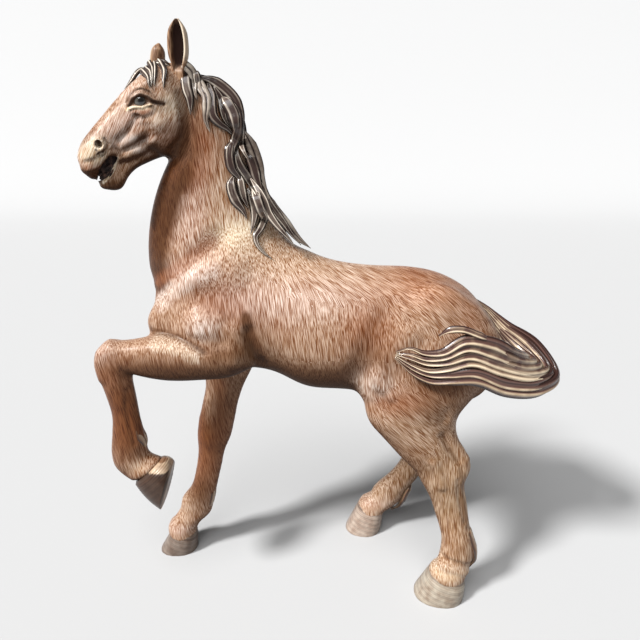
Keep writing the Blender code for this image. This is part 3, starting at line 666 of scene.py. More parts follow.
hairForm = {
    "mane": [  # half width, how much painted highlight its crests get, centre line; later locks lie over earlier ones
        (6.0, 0.15, [(-118, -4, 524), (-106, -3, 521), (-94, -3, 516), (-84, -3, 508), (-77, -3, 497),
                     (-73, -3, 484), (-70, -3, 470), (-64, -3, 455), (-58, -3, 441), (-52, -3, 427)]),
        (5.5, 0.15, [(-104, -12, 522), (-94, -9, 519), (-84, -8, 513), (-76, -8, 505), (-71, -9, 494),
                     (-69, -12, 482), (-68, -12, 471)]),
        (5.0, 0.3, [(-69, -10, 480), (-64, -8, 471), (-60, -9, 462), (-57, -8, 452), (-55, -8, 440),
                    (-51, -10, 428), (-47, -12, 416)]),
        (5.0, 0.3, [(-52, -10, 430), (-46, -6, 414), (-37, -6, 402), (-29, -6, 392), (-20, -6, 382),
                    (-9, -5, 373)]),
        (4.2, 0.3, [(-119, -14, 530), (-113, -17, 529), (-109, -16, 525), (-108, -18, 517),
                    (-107, -18, 510), (-105, -18, 503)]),
        (4.6, 0.6, [(-115, -20, 527), (-114, -20, 520), (-113, -20, 512), (-111, -21, 504),
                    (-111, -21, 497), (-111, -20, 491)]),
        (4.2, 0.3, [(-103, -15, 524), (-101, -18, 513), (-97, -21, 504), (-97, -22, 496), (-98, -22, 487),
                    (-95, -22, 477)]),
        (3.6, 0.9, [(-107, -12, 528), (-105, -16, 524), (-104, -18, 515), (-100, -20, 508),
                    (-96, -21, 502), (-95, -22, 494)]),
        (3.6, 0.6, [(-91, -13, 514), (-87, -16, 505), (-85, -19, 497), (-83, -20, 488), (-78, -22, 480)]),
        (4.2, 0.2, [(-97, -11, 519), (-94, -17, 508), (-93, -21, 497), (-92, -22, 490), (-87, -21, 484),
                    (-80, -21, 479), (-75, -21, 472)]),
        (5.2, 0.8, [(-85, -14, 507), (-79, -19, 499), (-75, -21, 491), (-73, -23, 483), (-75, -22, 474)]),
        (4.0, 0.25, [(-76, -20, 472), (-80, -21, 462), (-80, -22, 454), (-78, -23, 446), (-73, -22, 439),
                     (-70, -21, 430)]),
        (4.4, 0.25, [(-82, -9, 508), (-75, -12, 498), (-71, -20, 488), (-71, -21, 479), (-75, -20, 471),
                     (-78, -21, 462), (-78, -22, 454), (-75, -22, 446), (-70, -20, 438)]),
        (5.0, 0.15, [(-66, -10, 462), (-61, -11, 450), (-57, -12, 436), (-52, -14, 424)]),
        (4.5, 0.9, [(-74, -18, 467), (-74, -20, 458), (-72, -20, 449), (-67, -19, 440), (-62, -21, 431),
                    (-55, -27, 423), (-51, -29, 414), (-47, -28, 403)]),
        (3.2, 0.9, [(-70, -12, 488), (-69, -15, 478), (-71, -17, 469), (-67, -20, 461), (-62, -20, 452)]),
        (4.0, 0.9, [(-72, -18, 442), (-71, -21, 432), (-69, -20, 422), (-65, -21, 412)]),
        (4.8, 0.4, [(-77, -23, 441), (-79, -23, 434), (-78, -23, 426), (-75, -24, 418), (-70, -23, 411),
                    (-66, -22, 403)]),
        (3.6, 1.0, [(-66, -20, 430), (-62, -20, 418), (-60, -21, 408), (-61, -22, 398), (-63, -25, 390)]),
        (4.2, 0.9, [(-60, -12, 444), (-54, -10, 431), (-49, -10, 419), (-41, -12, 407), (-34, -12, 398),
                    (-27, -12, 388), (-18, -11, 377)]),
        (3.8, 1.1, [(-63, -16, 439), (-56, -22, 429), (-50, -25, 419), (-46, -26, 408), (-40, -27, 399),
                    (-33, -28, 391), (-27, -27, 384), (-23, -27, 378)]),
        (4.6, 1.0, [(-67, -20, 451), (-67, -20, 441), (-61, -24, 430), (-56, -28, 421), (-53, -29, 412),
                    (-52, -28, 402), (-55, -27, 394), (-59, -27, 387), (-57, -27, 380), (-51, -28, 373),
                    (-44, -28, 368)]),
    ],
    "forelock": [
        (2.8, [(-126, -10, 530), (-134, -8, 532), (-142, -7, 532), (-149, -8, 528)]),
        (2.4, [(-126, -5, 531), (-136, -2, 532), (-145, 1, 531), (-152, 1, 526), (-159, 0, 519)]),
        (1.9, [(-150, -7, 531), (-157, -11, 525), (-162, -13, 518), (-166, -15, 511)]),
        (2.1, [(-154, -10, 527), (-147, -24, 523), (-142, -29, 518), (-141, -31, 514), (-140, -32, 510)]),
        (1.9, [(-150, -9, 531), (-146, -20, 527), (-141, -27, 523), (-140, -29, 518), (-140, -31, 511)]),
        (1.9, [(-147, -7, 535), (-144, -16, 532), (-140, -24, 526), (-139, -27, 520), (-139, -31, 511)]),
        (1.8, [(-142, -11, 535), (-138, -22, 527), (-137, -26, 520), (-137, -30, 512)]),
        (2.4, [(-140, -8, 537), (-134, -19, 531), (-130, -25, 524), (-130, -27, 518), (-130, -28, 510)]),
    ],
    "tufts": [
        (8.0, 5.0, [(150, -49, 96), (158, -51, 74), (164, -52, 55), (165, -52, 44), (160, -52, 36)]),
        (7.5, 4.5, [(116, 50, 72), (108, 50, 56), (104, 51, 43), (99, 51, 32), (91, 51, 28)]),
        (7.5, 4.0, [(-126, 22, 88), (-130, 21, 68), (-135, 20, 55), (-143, 19, 47)]),
        (8.0, 4.5, [(-185, -41, 208), (-182, -40, 192), (-178, -40, 180), (-181, -40, 171)]),
    ],
}
tailForm = {  # strands spread between its upper and lower edge
    "upper": [
        (146, 0, 324), (162, -2, 311), (177, -8, 291), (190, -20, 275), (197, -40, 273), (178, -58, 283),
        (152, -68, 298), (128, -70, 302), (107, -71, 291), (92, -71, 291), (80, -70, 295), (69, -65, 290),
    ],
    "lower": [
        (148, 0, 326), (166, -1, 315), (190, -6, 297), (217, -14, 279), (230, -36, 253), (207, -56, 248),
        (172, -67, 253), (140, -71, 265), (118, -71, 264), (101, -70, 263), (84, -69, 270), (68, -63, 283),
    ],
    "curl": [(152, -69, 302), (138, -71, 308), (124, -71, 313), (113, -70, 312), (105, -68, 306)],
    "strands": 6,
}
ridgeForms = {  # height of the hair across a lock, for u from -1 to 1
    "broad": lambda u, turns: abs(math.sin(math.pi * turns * (u + 1) / 2)) ** 0.6,
    "ribbon": lambda u, turns: max(
        0.9 * max(1 - abs(u + 0.62) / 0.24, 0), max(1 - abs(u - 0.5) / 0.26, 0),
        0.5 * max(1 - abs(u + 0.02) / 0.22, 0), 0.42 * (1 - u * u),
    ),
    "sharp": lambda u, turns: max(
        max(1 - abs(u + 0.3) / 0.5, 0) ** 1.2, 0.5 * max(1 - abs(u - 0.62) / 0.25, 0),
        0.32 * max(1 - abs(u - 0.25) / 0.2, 0),
    ),
}
chance = random.Random(7)


# one lock of hair: a tapering strip with ridges on its outer side; crest drives its glaze, and sheen is how
# much painted highlight the crests get
def lock(name, halfWidth, halfThick, path, outward, ridges=3, groove=0.4, form="broad", blunt=0.08,
         step=1.5, sheen=0.5, fade=2.2, glow=lambda row: 0):
    rows = evenRows([tuple(p) if len(p) > 3 else (*p, halfWidth) for p in path], step)
    count = 12 * ridges + 4 if form == "broad" else 30
    lean, phase = chance.uniform(-0.16, 0.16), chance.uniform(0, 6)
    rings, crests, sheens = [], [], []
    for i, row in enumerate(rows):
        t = i / (len(rows) - 1)
        taper = max(min(1.0, 0.2 + 3.6 * t) * min(1.0, (1 - t) * fade) ** 0.8, blunt)
        ahead = unit((rows[min(i + 1, len(rows) - 1)] - rows[max(i - 1, 0)])[:3])
        out = outward(row) if callable(outward) else outward
        side = unit(np.cross(ahead, out))
        out = unit(np.cross(side, ahead))
        drift = lean * math.sin(3 * t + phase)
        row = row.copy()
        row[:3] -= out * halfThick * max(0.8 - t * 6, 0)
        ring = []
        for k in range(count):
            angle = 2 * math.pi * k / count
            u = -math.cos(angle)
            if abs(math.sin(angle)) < 0.999:
                u = 0.75 * u + 0.25 * math.copysign(abs(u) ** 2, u)
            dome = math.sqrt(max(1 - u * u, 0)) ** 0.8
            ridge = ridgeForms[form](min(max(u + drift * dome, -1), 1), ridges)
            lift = dome * (1 - groove * (1 - ridge) * min(1, dome * 1.6))
            thick = halfThick * (1.0 if angle <= math.pi else -0.75)
            ring.append(row[:3] + taper * (side * row[3] * u + out * thick * lift))
            crests.append(min(1, (ridge + glow(row)) * min(1, dome * 1.8)))
            sheens.append(sheen)
        rings.append(ring)
    piece = skinRings(name, rings)
    addNumbers(piece, "crest", "FLOAT", crests)
    addNumbers(piece, "sheen", "FLOAT", sheens)
    return piece


# a path drawn in the side view, laid on the near side of the body
def laidOn(path, lift):
    laid = []
    for x, y, z in path:
        hit = bodyTree.ray_cast(Vector((x, -200, z)) * mm, Vector((0, 1, 0)), 0.2)[0]
        onBody = hit.y / mm - lift if hit else y
        laid.append((x, min(y, onBody) if onBody > -8 else onBody, z))
    return laid


# the tail's strands face away from the middle of its loop
def awayFromLoop(point):
    return unit((max(point[0] - 170, 0), point[1] + 36, 0))


# painted highlight: crests paler on the outside of the bend
def outerGlow(row):
    return 0.3 * min(max((row[0] - 165) / 35, 0), 1)


def makeMane():
    pieces = []
    for halfWidth, sheen, path in hairForm["mane"]:
        laid = laidOn(path, halfWidth * 0.3 + 1.0)
        form = "ribbon" if sheen != 0.3 else "broad"
        pieces.append(lock("lock", halfWidth * 1.05, halfWidth * 0.62, laid, (0.1, -1, 0.15), 2, 0.45, form,
                           sheen=sheen))
    return joinAll("mane", pieces)


def makeForelock():
    pieces = []
    for halfWidth, path in hairForm["forelock"]:
        laid = laidOn(path, 1.2)
        pieces.append(lock("lock", halfWidth * 1.25, halfWidth * 1.1, laid, (-0.3, -1, 0.4), 1, 0.5, "sharp",
                           step=0.8, sheen=0.95))
    return joinAll("forelock", pieces)


def makeTail():
    pieces = []
    count = tailForm["strands"]
    upper, lower = np.array(tailForm["upper"], float), np.array(tailForm["lower"], float)
    spacing = np.linalg.norm(upper - lower, axis=1) / (count - 1)
    for k in range(count):
        along = np.linspace(0, 1, len(upper))
        sway = 0.05 * np.sin(along * 11 + chance.uniform(0, 6)) * (0 < k < count - 1)
        u = (k / (count - 1) + sway)[:, None]
        path = np.column_stack([upper * (1 - u) + lower * u, np.maximum(spacing * 0.74, 2.4)])
        # the two lowest strands get less painted highlight, as painted shade on the tail's underside
        pieces.append(lock("strand", 5.0, 5.8, path, awayFromLoop, 1, 0.55, "sharp", 0.3,
                           sheen=chance.uniform(0.5, 1) - 0.4 * (k > count - 3), fade=5,
                           glow=outerGlow if k < count - 2 else lambda row: 0))
    curl = tailForm["curl"]
    pieces.append(lock("curl", 3.5, 4.0, curl, (0, -1, 0), 1, 0.5, "sharp", 0.3, sheen=0.9, fade=4))
    return joinAll("tail", pieces)


print("hair")
mane, forelock, tail = makeMane(), makeForelock(), makeTail()
tufts = joinAll("tufts", [
    lock("tuft", wide, thick, path, (1, 0, 0.2), blunt=0.3) for wide, thick, path in hairForm["tufts"]
])

eyeForm = {"at": (-159.0, 500.6), "radius": 5.8, "sunk": 2.6, "pupil": 0.87, "pupilEdge": 14}
tongueForm = {
    "core": [(-179.0, 455.0), (-185.0, 458.5), (-190.0, 456.6), (-196.0, 450.0), (-199.2, 445.2),
             (-198.4, 441.0), (-197.6, 437.0), (-195.0, 435.0), (-187.0, 438.6), (-182.0, 448.0)],
    "half": 5.2,
    # teeth and folds: x, z, length, thickness, tilt
    "lumps": [(-197.4, 442.6, 2.4, 1.5, -50), (-194.2, 441.6, 3.0, 1.3, -48),
              (-191.4, 443.0, 3.6, 1.1, -50), (-196.8, 439.4, 2.0, 1.3, -40),
              (-190.6, 448.6, 3.4, 1.4, -46), (-188.4, 443.2, 4.0, 0.9, -58)],
}


def makeEyes():
    pieces = []
    x, z = eyeForm["at"]
    for side in (-1, 1):
        start = fromHead((x, side * 60, z))
        inward = unit(fromHead((x, 0, z)) - start)
        hit = bodyTree.ray_cast(Vector(start) * mm, Vector(inward), 0.2)[0]
        centre = np.array(hit) / mm + inward * eyeForm["sunk"]
        bpy.ops.mesh.primitive_uv_sphere_add(segments=48, ring_count=24, radius=eyeForm["radius"] * mm)
        ball = bpy.context.object
        ball.name = "eyeball"
        poleOut = Matrix.Rotation(math.radians(-90 * side), 4, "X")
        withHead = Matrix.Rotation(math.radians(headTurn["angle"]), 4, "Z")
        ball.data.transform(Matrix.Translation(Vector(centre) * mm) @ withHead @ poleOut)
        iris = [0.0] * len(ball.data.vertices)
        for v in ball.data.vertices:
            look = (Vector(v.co) / mm - Vector(centre)).normalized().dot(Vector(-inward))
            iris[v.index] = min(max((look - eyeForm["pupil"]) * eyeForm["pupilEdge"], 0), 1)
        addNumbers(ball, "iris", "FLOAT", iris)
        pieces.append(ball)
    return joinAll("eyes", pieces)


def makeMouthParts():
    half = tongueForm["half"]
    core = headSlab("tongue", tongueForm["core"], half)
    bevel = core.modifiers.new("round", "BEVEL")
    bevel.width = 1.2 * mm
    bevel.segments = 3
    applyAll(core)
    pieces = [core]
    for x, z, long, thick, tilt in tongueForm["lumps"]:
        for side in (-1, 1):
            lump = swelling("lump", (x, side * half, z), (long, 1.5, thick), tilt)
            lump.data.transform(turnMatrix(headTurn["angle"]))
            pieces.append(lump)
    return joinAll("mouthParts", pieces)


print("eyes")
eyes = makeEyes()
mouthParts = makeMouthParts()


coatPaint = {  # the body's colours, laid over each other in this order
    "tones": {
        # lilac and pearl are painted sheen and painted highlights on lit forms; umber and the near-black also
        # lay painted shade in places
        "ground": (0.250, 0.132, 0.068), "russet": (0.195, 0.058, 0.016), "umber": (0.052, 0.018, 0.006),
        "lilacSheen": (0.43, 0.285, 0.22), "cream": (0.78, 0.64, 0.44), "tan": (0.38, 0.225, 0.12),
        "straw": (0.232, 0.134, 0.058), "nearBlack": (0.02, 0.010, 0.007), "pearlHighlight": (0.58, 0.47, 0.40),
    },
    "patches": [  # middle (x, z) and radii in the side view, tone, strength
        ((-112, 455), (30, 24), "russet", 0.7),  # behind the jaw
        ((-104, 468), (13, 9), "russet", 0.9),
        ((-112, 484), (14, 14), "russet", 0.6),
        ((-142, 405), (12, 30), "russet", 0.7),  # front of the neck
        ((28, 258), (22, 12), "umber", 0.8),  # painted shade in the crease where the belly meets the thigh
        ((86, 340), (30, 12), "russet", 0.5),  # rump
        ((-18, 352), (30, 10), "russet", 0.3),
        ((-36, 312), (24, 16), "russet", 0.3),
        ((122, 256), (26, 12), "umber", 0.85),  # painted shadow of the tail on the hindquarters
        ((84, 234), (24, 12), "russet", 0.5),
        ((-151, 80), (14, 22), "umber", 0.5),  # far fore fetlock
        ((120, 160), (18, 22), "umber", 0.25),
        ((-140, 428), (24, 22), "umber", 0.4),  # throat and neck: painted shadow of the head on the throat, painted sheen down the neck's middle
        ((-114, 405), (20, 44), "lilacSheen", 0.55),
        ((-88, 420), (14, 40), "tan", 0.6),
        ((-92, 385), (26, 20), "russet", 0.35),
        ((-70, 390), (24, 14), "cream", 0.95),  # before the withers
        ((-54, 384), (18, 10), "tan", 0.7),
        ((-120, 356), (34, 10), "lilacSheen", 0.5),  # shoulder: painted sheen along its top, then its darker patches
        ((-80, 335), (34, 20), "russet", 0.7),
        ((-82, 333), (26, 18), "umber", 0.45),
        ((-94, 284), (20, 16), "umber", 0.6),  # forearm
        ((74, 236), (24, 14), "umber", 0.35),
        ((64, 60), (24, 34), "tan", 0.8),  # far hind pastern
        ((-150, 86), (14, 20), "umber", 0.35),
        ((-138, 200), (9, 24), "tan", 0.5),
        ((-186, 160), (12, 8), "tan", 0.6),
        # painted highlight on the stifle
        ((44, 252), (14, 12), "cream", 0.35),
        # painted shade in the crease behind the elbow
        ((-62, 292), (15, 30), "umber", 0.45),
        ((-74, 288), (20, 16), "umber", 0.45),
        ((-86, 330), (30, 18), "russet", 0.7),
        ((-112, 430), (14, 40), "russet", 0.3),
        # painted highlight on the point of the shoulder
        ((-106, 309), (12, 9), "pearlHighlight", 0.6),
        ((-30, 362), (44, 18), "tan", 0.6),  # back and barrel, with painted sheen along the upper barrel
        ((-20, 336), (64, 20), "lilacSheen", 0.65),
        ((20, 360), (60, 16), "tan", 0.45),
        ((44, 305), (26, 30), "russet", 0.75),  # flank
        ((50, 278), (22, 20), "umber", 0.45),
        ((96, 346), (44, 18), "tan", 0.25),
        ((88, 352), (12, 10), "russet", 0.35),
        ((140, 318), (20, 30), "russet", 0.4),
        # painted highlight on the stifle
        ((48, 252), (20, 14), "lilacSheen", 0.6),
        ((74, 236), (26, 13), "russet", 0.65),
        ((112, 232), (24, 26), "umber", 0.5),
        ((118, 262), (34, 20), "russet", 0.5),
        ((104, 350), (56, 24), "russet", 0.55),
        ((84, 205), (24, 24), "tan", 0.4),
        ((132, 110), (44, 90), "straw", 0.8),  # hind cannon
        ((132, 84), (20, 30), "russet", 0.25),
        ((-206, 284), (16, 10), "lilacSheen", 0.5),  # knee: painted highlight on its top; below it the raised cannon darker, partly its own glaze and partly painted shade under the knee
        ((-196, 262), (22, 20), "russet", 0.6),
        ((-190, 220), (30, 40), "russet", 0.95),
        ((-190, 205), (30, 50), "umber", 0.5),
        ((-176, 172), (16, 12), "tan", 0.5),
        ((-130, 165), (34, 90), "russet", 0.9),
        ((-112, 205), (26, 40), "umber", 0.45),
        ((-160, 64), (24, 20), "tan", 0.6),
        # painted shade on the underside of the raised forearm and on the raised cannon below the knee
        ((-150, 270), (46, 9), "umber", 0.75),
        ((-188, 200), (30, 60), "umber", 0.7),
        ((-132, 175), (30, 90), "umber", 0.82),
        ((-128, 150), (30, 90), "russet", 0.35),
        ((-186, 205), (26, 50), "russet", 0.35),
        # painted shade along the underside of the belly
        ((-30, 262), (70, 9), "umber", 0.6),
        ((136, 37), (24, 8), "cream", 0.28),  # coronets: paler, with painted sheen
        ((-164, 33), (20, 7), "lilacSheen", 0.5),
        ((66, 42), (20, 7), "lilacSheen", 0.5),
        ((-124, 202), (8, 26), "tan", 0.4),
        ((-141, 84), (13, 20), "umber", 0.45),
        ((-181, 158), (12, 8), "tan", 0.8),
        # painted shadow of the tail
        ((121, 264), (28, 10), "umber", 0.9),
        ((-103, 445), (12, 16), "russet", 0.5),
        # painted shade behind the cheek
        ((-105, 487), (9, 20), "umber", 0.45),
    ],
    "facePatches": [  # the same on the straight head
        ((-178, 479), (12, 7), "lilacSheen", 0.5),  # nose, with painted sheen along its bridge
        ((-203, 470), (8, 9), "russet", 0.55),
        ((-200, 473), (8, 7), "umber", 0.45),
        ((-207, 467), (6, 7), "umber", 0.3),
        ((-194, 479), (9, 6), "russet", 0.3),
        ((-133, 444), (14, 14), "russet", 0.95),  # painted shade under the jaw, where the head shadows the neck
        ((-134, 441), (11, 14), "umber", 0.65),
        ((-128, 468), (12, 18), "umber", 0.8),
        ((-187, 470), (13, 8), "lilacSheen", 0.5),  # nose and muzzle, with painted highlights there, on the brow and below the eye
        ((-204, 458), (8, 8), "cream", 0.6),
        ((-158, 513), (12, 8), "lilacSheen", 0.5),
        ((-166, 487), (8, 4), "lilacSheen", 0.6),
        ((-203, 448.5), (10, 5), "russet", 0.85),
        ((-150, 486), (18, 20), "lilacSheen", 0.75),  # cheek: painted highlight, its darker parts, and painted shade along the jaw's lower edge and behind the cheek
        ((-149, 488), (10, 12), "cream", 0.3),
        ((-157, 476), (9, 7), "russet", 0.6),
        ((-142, 470), (16, 10), "russet", 0.45),
        ((-136, 459), (22, 8), "umber", 0.5),
        ((-127, 474), (10, 14), "umber", 0.4),
        ((-122, 487), (8, 28), "umber", 0.5),
        ((-136, 499), (10, 10), "cream", 0.5),
        ((-170, 470.5), (11, 4.5), "pearlHighlight", 0.95),  # painted highlights on the ridges of the cheek
        ((-163, 463), (11, 4.5), "pearlHighlight", 0.95),
        ((-166, 466.5), (10, 2), "russet", 0.4),
        ((-172, 454), (12, 6), "tan", 0.8),
        ((-158, 491.5), (8, 3.0), "russet", 0.8),  # round the eye
        ((-146, 500), (9, 3.4), "umber", 0.85),
        ((-159, 500.5), (7.6, 4.2), "nearBlack", 0.95),
        ((-160, 495.6), (9, 1.2), "cream", 0.8),
        ((-195, 466), (5.6, 5.6), "cream", 0.9),  # nostril
        ((-195.6, 467), (2.6, 3.2), "nearBlack", 1.0),
        # painted highlight on the muzzle
        ((-199.5, 458), (6, 8), "cream", 0.6),
        ((-204, 442), (8, 4), "umber", 0.9),  # lips
        ((-188, 432), (17, 8), "umber", 0.9),
        ((-150, 512), (16, 8), "tan", 0.6),
        # painted highlight on the muzzle
        ((-197, 456), (7, 6), "cream", 0.4),
        # painted shadow of the head on the neck
        ((-134, 442), (11, 11), "umber", 0.85),
        ((-147, 511), (8, 6), "russet", 0.4),  # brow, cheek and bridge of the nose, with painted sheen
        ((-153, 465), (7, 5), "ground", 0.8),
        ((-176, 456), (7, 5), "ground", 0.8),
        ((-167, 487), (7, 5), "lilacSheen", 0.7),
        ((-158, 478), (7, 5), "ground", 0.5),
        ((-179, 482), (8, 6), "lilacSheen", 0.6),
        ((-169, 508), (8, 6), "lilacSheen", 0.5),
    ],
    "lines": [  # tone, reach, strength, path
        ("russet", 22.0, 0.9, [(-142, 445), (-150, 428), (-159, 400), (-165, 372), (-164, 346)]),  # throat
        # painted shadow of the head, down the front of the neck
        ("umber", 21.0, 0.96, [(-127, 448), (-133, 430), (-141, 410), (-149, 390), (-156, 366),
                               (-157, 345)]),
        # painted shade in the creases behind the elbow and over the forearm
        ("umber", 7.0, 0.8, [(-67, 318), (-64, 300), (-60, 286), (-57, 276), (-53, 268)]),
        ("umber", 3.6, 0.8, [(-160, 300), (-146, 300), (-132, 299), (-119, 295), (-106, 288)]),
        # painted light on the top of the raised forearm
        ("cream", 7.0, 0.2, [(-152, 293), (-136, 292), (-123, 288), (-113, 283)]),
        # painted highlight along the front of the shoulder blade
        ("pearlHighlight", 10.0, 0.34, [(-150, 326), (-138, 338), (-118, 351), (-98, 359)]),
        ("russet", 9.0, 0.6, [(-155, 344), (-138, 354), (-116, 370), (-98, 384)]),
        ("umber", 3.0, 0.5, [(118, 200), (126, 184), (136, 170), (142, 150), (146, 118), (152, 92)]),
    ],
    "faceLines": [
        ("nearBlack", 2.1, 0.95, [(-168.4, 496.6), (-165.6, 501.6), (-159.4, 504.6), (-153.6, 503.4),
                             (-150, 500.6), (-146, 499.2)]),
        ("nearBlack", 1.6, 0.85, [(-150, 500.4), (-144, 499.2), (-141, 498.8)]),
        ("umber", 1.6, 0.4, [(-171, 498), (-167.5, 504), (-162.4, 507.6), (-157.6, 508.4),
                             (-151.5, 506.4), (-146, 502.4)]),
        ("cream", 1.7, 0.95, [(-170.5, 493.6), (-166.2, 495.2), (-162.3, 495.0), (-158.3, 494.6),
                              (-155, 496.0), (-151.6, 497.4)]),
        ("umber", 2.2, 0.4, [(-163.5, 488), (-166.5, 484), (-171, 478), (-175.4, 474), (-180, 470)]),
        ("umber", 2.0, 0.35, [(-159, 470.6), (-162, 468.4), (-168, 465), (-175, 462)]),
        # painted shade behind the cheek and along the jaw's lower edge
        ("umber", 6.0, 0.5, [(-126, 507), (-124, 495), (-123.5, 483), (-127, 471), (-136, 460),
                             (-150, 455), (-162, 449)]),
        ("umber", 2.0, 0.3, [(-190.4, 470.6), (-188.4, 467), (-189.4, 462.6), (-192.6, 458.8),
                             (-196.6, 457.6)]),
        ("nearBlack", 4.0, 1.0, [(-211, 443), (-204, 440), (-198, 442.5)]),
        ("cream", 1.6, 0.7, [(-182.5, 455.6), (-185.4, 448), (-189.5, 441.5), (-193, 438), (-196, 435.6)]),
        ("nearBlack", 3.0, 0.8, [(-197, 430), (-190, 428.4), (-184, 430.5)]),
    ],
    # painted shade on the undersides, laid in two steps: how fast, from where, strength, tone
    "paintedShadeBelow": [(1.8, 0.1, 0.95, "umber"), (2.5, 1.2, 0.8, "nearBlack")],
    # places where the strokes fade out: the coronets, and on the head the eye and the ridges of the cheek
    "smooth": [((137, 34), (24, 5)), ((-164, 29), (20, 5)), ((66, 39), (20, 5))],
    "faceSmooth": [((-159, 499), (10, 6)), ((-169, 467), (10, 7))],
    "slanted": [  # places where the strokes slope more, and how much
        ((-36, 368), (34, 22), 0.45), ((50, 356), (74, 24), 1.0), ((112, 335), (42, 30), 1.0),
        ((92, 214), (34, 40), 0.95), ((136, 290), (24, 44), 0.7),
    ],
    "faceStrokes": (32, 1.3),  # degrees the strokes slope on the face, and how much finer they are
    "backRoll": (310, 55),  # height and radius of the roll that carries the strokes over the back
}


# 0 up to the start, then growing to 1 over the width
def rising(values, start, width):
    return np.clip((values - start) / width, 0, 1)


def spot(flat, place, radii):
    return np.exp(-(((flat - place) / radii) ** 2).sum(axis=1))


def turnedDown(vectors, angle):
    c, s = math.cos(math.radians(angle)), math.sin(math.radians(angle))
    x, z = vectors[:, 0], vectors[:, 2]
    return np.column_stack([x * c - z * s, vectors[:, 1], x * s + z * c])


def paintCoat(body):
    points, normals = meshPoints(body), meshNormals(body)
    head = toHead(points)
    side, headSide = points[:, [0, 2]], head[:, [0, 2]]
    inHead = rising(-points[:, 0], 100, 25) * rising(points[:, 2], 432, 24)
    onFace, aboveNeck = head[:, 0] < bodyForm["face"][0], head[:, 2] > bodyForm["face"][1]
    tone = {name: np.array(value) for name, value in coatPaint["tones"].items()}
    colour = np.tile(tone["ground"], (len(points), 1))

    def lay(weight, name):
        return colour * (1 - weight[:, None]) + tone[name] * weight[:, None]

    for place, radii, name, strength in coatPaint["patches"]:
        colour = lay(strength * spot(side, place, radii) * (1 - inHead * (place[1] > 440)), name)
    for place, radii, name, strength in coatPaint["facePatches"]:
        colour = lay(strength * spot(headSide, place, radii) * onFace * aboveNeck, name)
    for key, flat, share in (("lines", side, 1 - inHead), ("faceLines", headSide, onFace)):
        for name, reach, strength, path in coatPaint[key]:
            near = np.clip(1 - pathDistance(flat, np.array(path, float)) / reach, 0, 1)
            colour = lay(strength * np.clip(near * 1.7, 0, 1) * share, name)
    # painted shade, darker the more a point faces down
    for steep, start, strength, name in coatPaint["paintedShadeBelow"]:
        colour = lay(np.clip(-normals[:, 2] * steep - start, 0, 1) * strength, name)
    colour = lay(mouthWall, "nearBlack")
    frosted = np.clip(colour.sum(axis=1) * 2.5 - 0.45, 0, 1)
    addNumbers(body, "glaze", "FLOAT_COLOR", np.column_stack([colour, frosted]))

    smooth = [spot(side, *patch) for patch in coatPaint["smooth"]]
    smooth += [onFace * spot(headSide, *patch) for patch in coatPaint["faceSmooth"]]
    addNumbers(body, "smooth", "FLOAT", np.clip(np.max(smooth, axis=0) * 0.6, 0, 1))
    slants = [
        share * np.clip(1.6 * spot(side, place, radii), 0, 1) for place, radii, share in coatPaint["slanted"]
    ]
    addNumbers(body, "slant", "FLOAT", np.max(slants, axis=0))
    addNumbers(body, "onHead", "FLOAT", inHead)
    onBack = rising(points[:, 0], -130, 40) * rising(points[:, 2], 262, 30) * rising(-points[:, 2], -405, 20)
    addNumbers(body, "onBack", "FLOAT", onBack)
    addNumbers(body, "under", "FLOAT", np.clip(-normals[:, 2] * 2.5 - 0.4, 0, 1))

    # the strokes' own coordinates: rolled over the back, and turned down on the face
    middle, radius = coatPaint["backRoll"]
    height, across = points[:, 2] - middle, np.abs(points[:, 1])
    run = np.where(height > 0, radius * np.arctan2(height, across), height)
    depth = np.where(height > 0, np.hypot(height, across), across)
    addNumbers(body, "rolled", "FLOAT_VECTOR", np.column_stack([points[:, 0], depth, run]) * mm)
    slope, finer = coatPaint["faceStrokes"]
    addNumbers(body, "combed", "FLOAT_VECTOR", turnedDown(head, slope) * finer * mm)


def newMaterial(name):
    material = bpy.data.materials.new(name)
    material.use_nodes = True
    nodes, links = material.node_tree.nodes, material.node_tree.links
    return material, nodes, links, nodes["Principled BSDF"]


def setShader(shader, values):
    for key, value in values.items():
        shader.inputs[key].default_value = value


# a new node, with its own settings or its sockets set by name
def addNode(nodes, kind, **values):
    node = nodes.new(kind)
    for key, value in values.items():
        if hasattr(node, key):
            setattr(node, key, value)
        else:
            node.inputs[key].default_value = value
    return node


def newGroup(name, inputs, output):
    group = bpy.data.node_groups.new(name, "ShaderNodeTree")
    for label, kind in inputs.items():
        group.interface.new_socket(label, in_out="INPUT", socket_type=kind)
    group.interface.new_socket(output, in_out="OUTPUT", socket_type="NodeSocketFloat")
    return group, addNode(group.nodes, "NodeGroupInput"), addNode(group.nodes, "NodeGroupOutput")


